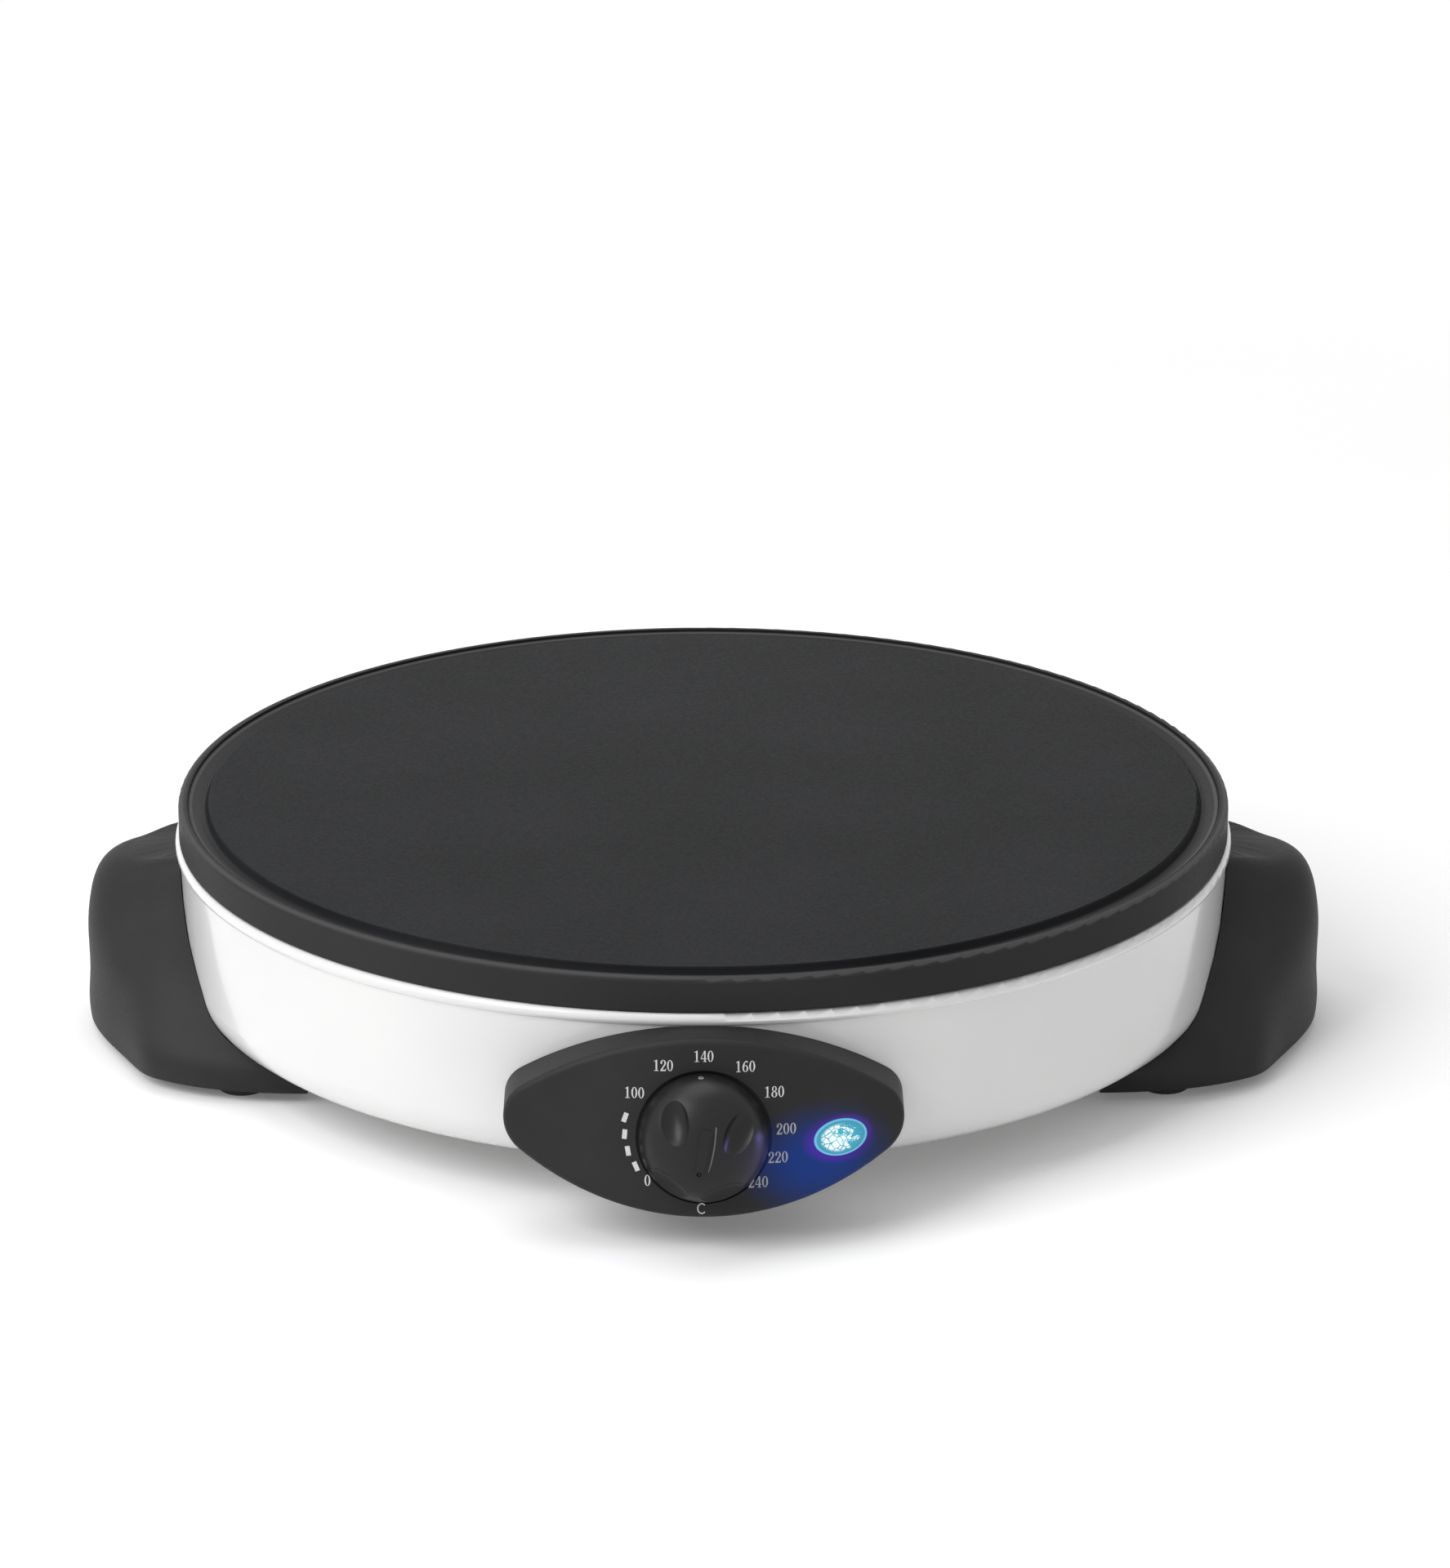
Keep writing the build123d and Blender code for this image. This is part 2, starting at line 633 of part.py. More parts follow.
def cover_screws():
    body = Pos(0, 0, COVER_Z) * screw(SMALL_SCREW, COVER_SHEET + HOUSING_SHEET + COVER_SCREW_TAIL)
    return gathered(place * body for place in around(COVER_SCREW_CIRCLE, COVER_SCREW_ANGLES))


# ------------------------------------------------------------------ handles
def rounding(drop):
    """Share of full size, from 0 at the handle's top to 1 where its shoulder ends."""
    left = max(0.0, 1.0 - drop / HANDLE_ROUND_DEPTH)
    power = HANDLE_ROUND_POWER
    return (1.0 - left**power) ** (1.0 / power)


def flare(drop):
    """Smooth widening from the handle's top to its base."""
    t = (drop - HANDLE_FLARE_START) / (HANDLE_FLARE_END - HANDLE_FLARE_START)
    t = min(1.0, max(0.0, t))
    return t * t * (3.0 - 2.0 * t)


def handle_section(drop, inset):
    """Level outline of a handle at a drop below its top, with its rounded nose at +X."""
    shrink = 1.0 - rounding(drop)
    reach = HANDLE_REACH - HANDLE_ROUND_REACH * shrink - inset
    half = HANDLE_TOP_HALF + (HANDLE_BASE_HALF - HANDLE_TOP_HALF) * flare(drop)
    half = half - HANDLE_ROUND_HALF * shrink - inset
    start = HANDLE_INNER + inset
    pull_x = start + HANDLE_SQUARENESS * (reach - start)
    pull_y = HANDLE_SQUARENESS * half
    level = HANDLE_TOP - drop - inset
    corner, shoulder, nose = (start, half, level), (pull_x, half, level), (reach, pull_y, level)
    tip = (reach, 0, level)
    rear = Bezier(tip, nose, shoulder, corner)
    front = mirror(rear, Plane.XZ)
    back = Line(corner, (start, -half, level))
    return make_face(Curve() + [front, rear, back])


def handle_form(inset):
    """Outer form of a handle, or its inner form when inset by the wall."""
    height = HANDLE_TOP - FOOT_STAND
    sections = []
    for index in range(HANDLE_SECTIONS):
        share = index / (HANDLE_SECTIONS - 1)
        sections.append(handle_section(height * share**HANDLE_SPACING, inset))
    return loft(sections)


def right_handle():
    body = handle_form(0) - housing_envelope(PART_GAP)
    hollow = handle_form(HANDLE_WALL)
    body -= finger_recess(hollow)
    body -= lip_pockets(hollow)
    for angle in HANDLE_SCREW_ANGLES:
        start = wall_radius(HANDLE_SCREW_HEIGHT)
        place = outwards(angle, start, HANDLE_SCREW_HEIGHT)
        body -= place * rod(SMALL_SCREW[0] + FIT, handle_screw_hole())
    for side in (-1, 1):
        body -= Pos(FOOT_X, side * FOOT_Y, 0) * foot_socket()
    return body


def finger_recess(hollow):
    """Space behind the outer skin, open below, less the bosses for the screws."""
    recess = hollow - rod(HOUSING_RADIUS + PART_GAP + HANDLE_WALL, CREST_Z)
    for angle in HANDLE_SCREW_ANGLES:
        recess -= outwards(angle, HOUSING_RADIUS, HANDLE_SCREW_HEIGHT) * screw_boss()
    return recess


def screw_boss():
    """Round boss pointing outwards, carried up to the handle's roof by a rib as wide."""
    up = (Align.MAX, Align.CENTER, Align.MIN)
    rise = CREST_Z - HANDLE_SCREW_HEIGHT
    rib = Box(rise, 2 * HANDLE_BOSS_RADIUS, HANDLE_BOSS_LENGTH, align=up)
    return rib + rod(HANDLE_BOSS_RADIUS, HANDLE_BOSS_LENGTH)


def lip_pockets(hollow):
    """Shallow pockets under the lip, between a grid of ribs and the bosses of the feet."""
    roof = COVER_Z - PART_GAP - HANDLE_WALL
    inside = rod(HOUSING_RADIUS + PART_GAP, roof)
    pockets = hollow & inside
    ribs = int((HANDLE_BASE_HALF - HANDLE_RIB_PITCH / 2) // HANDLE_RIB_PITCH)
    for index in range(-ribs, ribs + 1):
        rib = Box(4 * HANDLE_WALL + HANDLE_REACH - HANDLE_INNER, HANDLE_RIB, 2 * roof)
        pockets -= Pos(HOUSING_RADIUS - HANDLE_WALL, index * HANDLE_RIB_PITCH, 0) * rib
    for side in (-1, 1):
        pockets -= Pos(FOOT_X, side * FOOT_Y, 0) * rod(FOOT_RADIUS + HANDLE_WALL, roof)
    return pockets


def foot_socket():
    """Recess that holds a foot, and the hole for its screw."""
    recess = rod(FOOT_RADIUS + FOOT_FIT, FOOT_STAND + FOOT_RECESS)
    return recess + rod(FOOT_SCREW[0] + FIT, foot_screw_tip())


def foot_screw_tip():
    return COVER_Z - PART_GAP - FOOT_ROOF


def handle_screw_hole():
    return HANDLE_BOSS_LENGTH - 2 * TIP_GAP


def handle_screw_angles():
    """Directions of all handle screws, right side and then left."""
    return [*HANDLE_SCREW_ANGLES, *(180.0 + angle for angle in HANDLE_SCREW_ANGLES)]


def handle_screws():
    reach = handle_screw_hole() - 2 * TIP_GAP
    return wall_screws(handle_screw_angles(), HANDLE_SCREW_HEIGHT, reach)


def wall_screws(angles, height, reach):
    """Screws that pass outwards through the housing wall, heads inside."""
    seat = wall_radius(height) - HOUSING_SHEET - WALL_SEAT
    body = screw(SMALL_SCREW, reach + HOUSING_SHEET)
    return gathered(outwards(angle, seat, height) * body for angle in angles)


def foot():
    height = FOOT_STAND + FOOT_RECESS
    body = rod(FOOT_RADIUS, height)
    body = chamfer(body.edges().sort_by(Axis.Z)[0], FOOT_CHAMFER)
    body -= rod(FOOT_WELL_RADIUS, FOOT_WELL_DEPTH)
    return body - rod(FOOT_SCREW[0] + HOLE_PLAY, height)


def foot_screws():
    body = Pos(0, 0, FOOT_WELL_DEPTH) * screw(FOOT_SCREW, foot_screw_tip() - FOOT_WELL_DEPTH)
    return gathered(Pos(x, y, 0) * body for x, y in foot_places().values())


def foot_places():
    return {
        "front_left_foot": (-FOOT_X, -FOOT_Y),
        "front_right_foot": (FOOT_X, -FOOT_Y),
        "rear_left_foot": (-FOOT_X, FOOT_Y),
        "rear_right_foot": (FOOT_X, FOOT_Y),
    }


# ------------------------------------------------------------------ control panel
def almond(inset):
    """Front view of the panel: two equal arcs that meet in rounded tips."""
    radius = PANEL_ARC_RADIUS - inset
    lens = Pos(0, -PANEL_ARC_OFFSET) * Circle(radius) & Pos(0, PANEL_ARC_OFFSET) * Circle(radius)
    return fillet(lens.vertices(), PANEL_TIP_RADIUS - inset)


def face_cone(inset):
    """Space behind the panel's curved, tilted face."""
    low = FACE_TOP_RADIUS + PANEL_TOP * PANEL_SLOPE - inset
    high = FACE_TOP_RADIUS + (PANEL_TOP - CREST_Z) * PANEL_SLOPE - inset
    return turned([(0, 0), (low, 0), (high, CREST_Z), (0, CREST_Z)], [0, 0, 0, 0])


def panel_block(inset, back):
    outline = Plane.XZ * almond(inset)
    depth = FACE_TOP_RADIUS + PANEL_TOP * PANEL_SLOPE + OVERRUN - back
    block = Pos(0, -back, PANEL_MIDDLE) * extrude(outline, depth)
    return block & face_cone(inset)


def panel_screw_angles():
    """Directions of the posts, which reach the face just inside the panel's tips."""
    turn = math.degrees(math.asin((PANEL_HALF_WIDTH - PANEL_POST_INSET) / FACE_TOP_RADIUS))
    return [-90.0 - turn, -90.0 + turn]


def panel_screws():
    reach = PANEL_POST_HOLE - 2 * TIP_GAP
    return wall_screws(panel_screw_angles(), PANEL_MIDDLE, reach)


def control_panel():
    block = panel_block(0, PANEL_BACK)
    rim = block.faces().sort_by(Axis.Y)[0].edges()
    block = fillet(rim, PANEL_EDGE)
    cavity = panel_block(PANEL_WALL, PANEL_BACK - OVERRUN)
    pad_radius = KNOB_RADIUS + PAD_MARGIN
    cavity -= KNOB_PLANE * Pos(0, 0, -PAD_BACK) * rod(pad_radius, PAD_BACK + OVERRUN)
    for angle in panel_screw_angles():
        cavity -= outwards(angle, PANEL_BACK, PANEL_MIDDLE) * rod(PANEL_POST_RADIUS, HOUSING_RADIUS)
    panel = block - cavity - housing_envelope(PART_GAP)
    recess = KNOB_RADIUS + PANEL_RECESS_PLAY
    panel -= KNOB_PLANE * Pos(0, 0, -KNOB_SINK) * rod(recess, KNOB_SINK + OVERRUN)
    panel -= KNOB_PLANE * Pos(0, 0, -PAD_BACK) * rod(BUSHING_RADIUS + HOLE_PLAY, PAD_BACK)
    for side in (-1, 1):
        x = side * THERMOSTAT_SCREW_PITCH / 2
        hole = rod(SMALL_SCREW[0] + HOLE_PLAY, PAD_BACK)
        panel -= KNOB_PLANE * Pos(x, 0, -PAD_BACK) * hole
        panel -= KNOB_PLANE * Pos(x, 0, -KNOB_SINK) * countersink()
    for angle in panel_screw_angles():
        start = wall_radius(PANEL_MIDDLE)
        panel -= outwards(angle, start, PANEL_MIDDLE) * rod(SMALL_SCREW[0] + FIT, PANEL_POST_HOLE)
    panel -= lamp_place() * Pos(0, 0, -2 * PANEL_WALL) * oval(FIT, 4 * PANEL_WALL)
    return panel


def countersink():
    """Room for a flush screw head, below z = 0."""
    shank, head, _ = SMALL_SCREW
    return Pos(0, 0, -(head - shank) / 2) * Cone(shank, head, head - shank)


# ------------------------------------------------------------------ knob and thermostat
def dome_arcs(raise_by):
    """Reach and height of the dome, and the radii of its shoulder and crown."""
    reach = KNOB_RADIUS + raise_by
    cap = KNOB_HEIGHT - KNOB_SKIRT + raise_by
    shoulder = KNOB_SHOULDER + raise_by
    crown = (reach**2 + cap**2 - 2 * reach * shoulder) / (2 * (cap - shoulder))
    return reach, cap, shoulder, crown


def dome_point(radius, raise_by):
    """Height of the dome above the knob's base at a radius, and its slope there in degrees."""
    reach, cap, shoulder, crown = dome_arcs(raise_by)
    middle = reach - shoulder
    if radius < crown * middle / (crown - shoulder):
        slope = math.asin(radius / crown)
        height = cap - crown + crown * math.cos(slope)
    else:
        slope = math.asin((radius - middle) / shoulder)
        height = shoulder * math.cos(slope)
    return KNOB_SKIRT + height, math.degrees(slope)


def dome(raise_by):
    """Solid dome of two tangent arcs on a short upright skirt, standing on z = 0."""
    reach, cap, shoulder, crown = dome_arcs(raise_by)
    turn = math.degrees(math.atan2(crown - cap, reach - shoulder))
    flat = math.degrees(math.acos(KNOB_FLAT / crown))
    side = CenterArc((reach - shoulder, KNOB_SKIRT), shoulder, 0, turn)
    top = CenterArc((0, KNOB_SKIRT + cap - crown), crown, turn, flat - turn)
    rest = Polyline(top @ 1, (0, (top @ 1).Y), (0, 0), (reach, 0), side @ 0)
    return revolve(Plane.XZ * make_face([side, top, rest]), Axis.Z)


def dent(angle, radius, spread):
    """Oval scoop for a finger, square to the dome where it lands."""
    height, tilt = dome_point(radius, 0)
    upper_half = Pos(0, DENT_WIDTH) * Rectangle(2 * DENT_LENGTH, 2 * DENT_WIDTH)
    scoop = revolve(Ellipse(DENT_LENGTH, DENT_WIDTH) & upper_half, Axis.X)
    lie = Pos(radius, 0, height) * Rot(0, tilt, 0)
    return Rot(0, 0, angle) * lie * Rot(0, 0, spread) * Pos(0, 0, DENT_RAISE) * scoop


def knob_dents():
    """Two large scoops beside the ridge and two at the skirt, as mirrored pairs."""
    scoops = []
    for side in (-1, 1):
        upper = 90.0 + side * UPPER_DENT_ANGLE
        upper_turn = side * (UPPER_DENT_SPREAD - UPPER_DENT_ANGLE)
        scoops.append(dent(upper, UPPER_DENT_RADIUS, upper_turn))
        lower = 90.0 + side * LOWER_DENT_ANGLE
        lower_turn = side * (LOWER_DENT_SPREAD - LOWER_DENT_ANGLE)
        scoops.append(dent(lower, LOWER_DENT_RADIUS, lower_turn))
    return scoops


def knob_ridge():
    """Slim raised pointer along the crown, ending in a small dimple."""
    outline = Polyline(
        (-RIDGE_BOTTOM_HALF, RIDGE_BOTTOM),
        (RIDGE_BOTTOM_HALF, RIDGE_BOTTOM),
        (RIDGE_TOP_HALF, RIDGE_TOP),
        (-RIDGE_TOP_HALF, RIDGE_TOP),
        close=True,
    )
    bar = fillet(make_face(outline).vertices(), RIDGE_CORNER)
    bar = Pos(0, 0, KNOB_SKIRT) * extrude(bar, KNOB_HEIGHT)
    dimple = Pos(0, RIDGE_BOTTOM + RIDGE_BOTTOM_HALF, 0)
    top, _ = dome_point(abs(RIDGE_BOTTOM + RIDGE_BOTTOM_HALF), RIDGE_RISE)
    return bar & dome(RIDGE_RISE), dimple * Pos(0, 0, top) * Sphere(RIDGE_DOT_RADIUS)


def temperature_knob():
    knob = dome(0)
    for scoop in knob_dents():
        knob -= scoop
    ridge, dimple = knob_ridge()
    knob = knob + ridge - dimple
    knob -= tube(KNOB_RADIUS - 2 * KNOB_WALL, KNOB_HUB_RADIUS, 2 * KNOB_WALL)
    knob -= rod(SHAFT_RADIUS + FIT, KNOB_BORE_DEPTH) - shaft_flat(FIT)
    turned_knob = Rot(0, 0, KNOB_TURN) * knob
    return KNOB_PLANE * Pos(0, 0, KNOB_BASE) * turned_knob


def shaft_flat(gap):
    """The half-space beyond the shaft's flat."""
    across = SHAFT_RADIUS - SHAFT_FLAT + gap
    side = 4 * SHAFT_RADIUS
    block = Box(side, side, 2 * KNOB_HEIGHT, align=(Align.MIN, Align.CENTER, Align.CENTER))
    return Pos(across, 0, 0) * block


def thermostat_shaft():
    """Round in the thermostat's bushing, with a flat for the knob above it."""
    low = -PAD_BACK - SHAFT_TAIL
    step = KNOB_BASE - PART_GAP
    tip = KNOB_BASE + KNOB_BORE_DEPTH - PART_GAP
    shaft = Pos(0, 0, low) * rod(SHAFT_RADIUS, step - low)
    flatted = rod(SHAFT_RADIUS, tip - step) - shaft_flat(0)
    flatted = chamfer(flatted.faces().sort_by(Axis.Z)[-1].edges(), SHAFT_CHAMFER)
    return KNOB_PLANE * Rot(0, 0, KNOB_TURN) * (shaft + Pos(0, 0, step) * flatted)


def thermostat_body():
    """Capillary thermostat: case, threaded bushing, diaphragm cup and blade terminals."""
    low = (Align.CENTER, Align.CENTER, Align.MAX)
    case = Box(THERMOSTAT_WIDTH, THERMOSTAT_HEIGHT, THERMOSTAT_DEPTH, align=low)
    case = fillet(case.edges().filter_by(Axis.Z), THERMOSTAT_CORNER)
    case += rod(BUSHING_RADIUS, PAD_THICKNESS)
    cup_z = -THERMOSTAT_DEPTH - DIAPHRAGM_DEPTH
    case += Pos(0, 0, cup_z) * rod(DIAPHRAGM_RADIUS, DIAPHRAGM_DEPTH)
    for side in (-1, 1):
        x = side * THERMOSTAT_SCREW_PITCH / 2
        case -= Pos(x, 0, -THERMOSTAT_DEPTH) * rod(SMALL_SCREW[0] + FIT, THERMOSTAT_DEPTH)
        blade = Box(TAB_WIDTH, TAB_THICKNESS, TAB_HEIGHT, align=low)
        edge = THERMOSTAT_BLADE_EDGE - THERMOSTAT_HEIGHT / 2
        case += Pos(side * TAB_WIDTH, edge, -THERMOSTAT_DEPTH) * blade
    bore = SHAFT_TAIL + PART_GAP
    case -= Pos(0, 0, -bore) * rod(SHAFT_RADIUS + FIT, bore + PAD_THICKNESS)
    return KNOB_PLANE * Pos(0, 0, -PAD_BACK) * case


def thermostat_screws():
    """Flush screws under the knob."""
    shank, head, _ = SMALL_SCREW
    flush = Pos(0, 0, -(head - shank) / 2) * Cone(shank, head - HOLE_PLAY, head - shank)
    length = PAD_THICKNESS + THERMOSTAT_SCREW_REACH
    body = Pos(0, 0, -length) * rod(shank, length) + flush
    places = [side * THERMOSTAT_SCREW_PITCH / 2 for side in (-1, 1)]
    return gathered(KNOB_PLANE * Pos(x, 0, -KNOB_SINK) * body for x in places)


def bulb_height():
    return UNDERSIDE_Z - BULB_RADIUS - FIT


def capillary_rise():
    """Where the capillary passes up through the heat shield."""
    return -BULB_LENGTH / 2 - CAPILLARY_LEAD, BULB_Y - CAPILLARY_SIDE


def cup_centre():
    """Middle of the thermostat's diaphragm cup, on its back."""
    depth = PAD_BACK + THERMOSTAT_DEPTH + DIAPHRAGM_DEPTH
    return KNOB_PLANE.from_local_coords(Vector(0, 0, -depth))


def capillary_tube():
    """Thin tube from the thermostat up to the sensor bulb."""
    start = cup_centre()
    back = KNOB_PLANE.z_dir * -CAPILLARY_LEAD
    rise_x, rise_y = capillary_rise()
    end = Vector(-BULB_LENGTH / 2, BULB_Y, bulb_height())
    points = [
        start,
        start + back,
        Vector(rise_x, rise_y, start.Z + CAPILLARY_LIFT),
        Vector(rise_x, rise_y, end.Z - CAPILLARY_DIP),
        Vector(end.X - CAPILLARY_END, end.Y, end.Z),
        end,
    ]
    path = FilletPolyline(*points, radius=list(CAPILLARY_BENDS))
    section = Plane(origin=start, z_dir=back) * Circle(CAPILLARY_RADIUS)
    return sweep(section, path=path)


def sensor_bulb():
    bulb = Rot(0, 90, 0) * Cylinder(BULB_RADIUS, BULB_LENGTH)
    bulb = fillet(bulb.edges(), BULB_ROUND)
    return Pos(0, BULB_Y, bulb_height()) * bulb


def saddle(radius, centre_height):
    """Sheet strap over a rod lying along X, with one foot up against the plate."""
    sheet = SADDLE_SHEET
    outer = radius + FIT + sheet
    width = SADDLE_WIDTH
    arch = Rot(0, 90, 0) * (Cylinder(outer, width) - Cylinder(radius + FIT, width))
    arch -= Pos(0, 0, outer) * Box(2 * width, 4 * outer, 2 * outer)
    lift = UNDERSIDE_Z - centre_height
    for side in (-1, 1):
        leg = Box(width, sheet, lift, align=(Align.CENTER, Align.CENTER, Align.MIN))
        arch += Pos(0, side * (outer - sheet / 2), 0) * leg
    tab = Box(width, SADDLE_FOOT, sheet, align=(Align.CENTER, Align.MIN, Align.MAX))
    tab -= Pos(0, SADDLE_FOOT / 2, -sheet) * rod(SMALL_SCREW[0] + HOLE_PLAY, sheet)
    arch += Pos(0, outer - FIT, lift) * tab
    return Pos(0, 0, centre_height) * arch


def bulb_saddle():
    return Pos(0, BULB_Y, 0) * saddle(BULB_RADIUS, bulb_height())


def fuse_height():
    return UNDERSIDE_Z - FUSE_RADIUS - FIT


def fuse_saddle():
    return Pos(FUSE_X, FUSE_Y, 0) * saddle(FUSE_RADIUS, fuse_height())


def thermal_fuse():
    """One-shot cut-out in its sleeve, lying against the plate."""
    body = Rot(0, 90, 0) * Cylinder(FUSE_RADIUS, FUSE_LENGTH)
    body = fillet(body.edges(), FUSE_ROUND)
    body += Rot(0, 90, 0) * Cylinder(FUSE_LEAD_RADIUS, FUSE_LENGTH + 2 * FUSE_LEAD)
    return Pos(FUSE_X, FUSE_Y, fuse_height()) * body


def saddle_screws():
    seat = UNDERSIDE_Z - SADDLE_SHEET
    body = Pos(0, 0, seat) * screw(SMALL_SCREW, SADDLE_SHEET + PLATE_THICKNESS / 2 - TIP_GAP)
    return gathered(Pos(x, y, 0) * body for x, y in saddle_lugs())


# ------------------------------------------------------------------ signal lamp
def lamp_place():
    """On the panel's face, turned to the face's own slope."""
    radius = FACE_TOP_RADIUS + (PANEL_TOP - LAMP_HEIGHT) * PANEL_SLOPE
    angle = math.degrees(math.asin(LAMP_X / radius))
    face = Plane(origin=(0, -radius, LAMP_HEIGHT), x_dir=(1, 0, 0), z_dir=KNOB_PLANE.z_dir)
    return Rot(0, 0, angle) * face.location * Rot(0, 0, LAMP_TURN)


def oval(gap, height):
    return extrude(Ellipse(LAMP_HALF_WIDTH + gap, LAMP_HALF_HEIGHT + gap), height)


def lamp_lens():
    """Oval lens with a gently domed front and a flange behind the panel's skin."""
    back = -PANEL_WALL - 2 * PART_GAP
    lens = Pos(0, 0, back) * oval(-FIT, LAMP_PROUD - back)
    lens &= Pos(0, 0, LAMP_PROUD - LAMP_CROWN) * Sphere(LAMP_CROWN)
    lens += Pos(0, 0, back - LAMP_FLANGE) * oval(LAMP_FLANGE, LAMP_FLANGE)
    return lamp_place() * lens


def signal_lamp():
    """Small neon lamp in its holder, behind the lens."""
    back = -PANEL_WALL - 2 * PART_GAP - LAMP_FLANGE
    collar = rod(LAMP_BODY_RADIUS + LAMP_COLLAR, LAMP_COLLAR_DEPTH)
    holder = Pos(0, 0, back - LAMP_COLLAR_DEPTH) * collar
    holder += Pos(0, 0, back - LAMP_BODY_DEPTH) * rod(LAMP_BODY_RADIUS, LAMP_BODY_DEPTH)
    return lamp_place() * holder


# ------------------------------------------------------------------ cord inlet and wiring
def inlet_place():
    """Inside face of the rear wall at the inlet, own Z pointing out to the rear."""
    return outwards(90.0, wall_radius(INLET_HEIGHT) - 2 * HOUSING_SHEET, INLET_HEIGHT)


def cord_inlet():
    """Moulded bushing: a flange outside, a neck in the wall and a collar inside."""
    outer = wall_radius(INLET_HEIGHT)
    inner = outer - HOUSING_SHEET
    end = REAR_REACH
    start = outer - INLET_INSIDE
    neck = outwards(90.0, start, INLET_HEIGHT) * rod(INLET_NECK, end - start)
    flange = outwards(90.0, inner, INLET_HEIGHT) * rod(INLET_FLANGE, end - inner)
    flange = fillet(flange.edges().sort_by(Axis.Y)[-1], INLET_ROUND)
    flange -= housing_envelope(FIT)
    body = neck + flange
    return body - outwards(90.0, start, INLET_HEIGHT) * rod(INLET_BORE, end - start)


def inlet_nut():
    """Ring that grips the bushing's neck from inside the wall."""
    outer = wall_radius(INLET_HEIGHT) - HOUSING_SHEET
    height = INLET_NUT_HEIGHT
    corner = INLET_FLANGE / math.cos(math.pi / 6)
    ring = RegularPolygon(INLET_FLANGE, 6, major_radius=False)
    ring = extrude(ring, height) - rod(INLET_NECK + FIT, height)
    sag = outer - math.sqrt(outer**2 - corner**2)
    return outwards(90.0, outer - sag - height - SEAT, INLET_HEIGHT) * ring


def block_screw_places():
    half = (BLOCK_LENGTH + BLOCK_WIDTH / 2) / 2
    return [(-half, BLOCK_Y), (half, BLOCK_Y)]


def terminal_block():
    """Three-pole screw terminal on the bottom cover."""
    low = (Align.CENTER, Align.CENTER, Align.MIN)
    body = Box(BLOCK_LENGTH, BLOCK_WIDTH, BLOCK_HEIGHT, align=low)
    body = fillet(body.edges().filter_by(Axis.Z), BLOCK_CORNER)
    ears = SlotOverall(BLOCK_LENGTH + BLOCK_WIDTH, BLOCK_WIDTH / 2)
    body += extrude(ears, BLOCK_EAR)
    first = -POLE_PITCH * (BLOCK_POLES - 1) / 2
    for index in range(BLOCK_POLES):
        x = first + index * POLE_PITCH
        body -= Pos(x, 0, BLOCK_HEIGHT / 2) * Rot(90, 0, 0) * Cylinder(POLE_BORE, 2 * BLOCK_WIDTH)
        for side in (-1, 1):
            well = rod(POLE_WELL, BLOCK_HEIGHT)
            body -= Pos(x, side * BLOCK_WIDTH / 4, BLOCK_HEIGHT / 2) * well
    for x, _ in block_screw_places():
        body -= Pos(x, 0, 0) * rod(SMALL_SCREW[0] + HOLE_PLAY, BLOCK_EAR)
    return Pos(0, BLOCK_Y, HOUSING_LIFT) * body


def block_screws():
    body = Rot(180, 0, 0) * screw(SMALL_SCREW, BLOCK_EAR + COVER_SHEET)
    seat = HOUSING_LIFT + BLOCK_EAR
    return gathered(Pos(x, y, seat) * body for x, y in block_screw_places())


def earth_tag():
    """Ring terminal with a blade, under the earth screw."""
    low = (Align.MIN, Align.CENTER, Align.MIN)
    tag = rod(EARTH_RING, EARTH_SHEET)
    tag += Box(EARTH_RING + EARTH_BLADE, TAB_WIDTH, EARTH_SHEET, align=low)
    tag -= rod(SMALL_SCREW[0] + HOLE_PLAY, EARTH_SHEET)
    return Pos(EARTH_X, EARTH_Y, HOUSING_LIFT) * Rot(0, 0, -90) * tag


def earth_screw():
    body = Rot(180, 0, 0) * screw(SMALL_SCREW, EARTH_SHEET + COVER_SHEET)
    return Pos(EARTH_X, EARTH_Y, HOUSING_LIFT + EARTH_SHEET) * body


# ------------------------------------------------------------------ export
def pieces():
    right = right_handle()
    made = {
        "griddle_plate": griddle_plate(),
        "heating_element": heating_element(),
        "element_insulators": element_insulators(),
        "element_tabs": element_tabs(),
        "element_clips": element_clips(),
        "clip_screws": clip_screws(),
        "heat_shield": heat_shield(),
        "plate_spacers": plate_spacers(),
        "plate_screws": plate_screws(),
        "housing_shell": housing_shell(),
        "bottom_cover": bottom_cover(),
        "cover_screws": cover_screws(),
        "right_handle": right,
        "left_handle": mirror(right, Plane.YZ),
        "handle_screws": handle_screws(),
        "foot_screws": foot_screws(),
        "control_panel": control_panel(),
        "panel_screws": panel_screws(),
        "temperature_knob": temperature_knob(),
        "thermostat_shaft": thermostat_shaft(),
        "thermostat_body": thermostat_body(),
        "thermostat_screws": thermostat_screws(),
        "capillary_tube": capillary_tube(),
        "sensor_bulb": sensor_bulb(),
        "bulb_saddle": bulb_saddle(),
        "thermal_fuse": thermal_fuse(),
        "fuse_saddle": fuse_saddle(),
        "saddle_screws": saddle_screws(),
        "lamp_lens": lamp_lens(),
        "signal_lamp": signal_lamp(),
        "cord_inlet": cord_inlet(),
        "inlet_nut": inlet_nut(),
        "terminal_block": terminal_block(),
        "block_screws": block_screws(),
        "earth_tag": earth_tag(),
        "earth_screw": earth_screw(),
    }
    for name, (x, y) in foot_places().items():
        made[name] = Pos(x, y, 0) * foot()
    return made


os.makedirs("parts", exist_ok=True)
for piece_name, piece in pieces().items():
    export(piece_name, piece)
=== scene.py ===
import json
import math

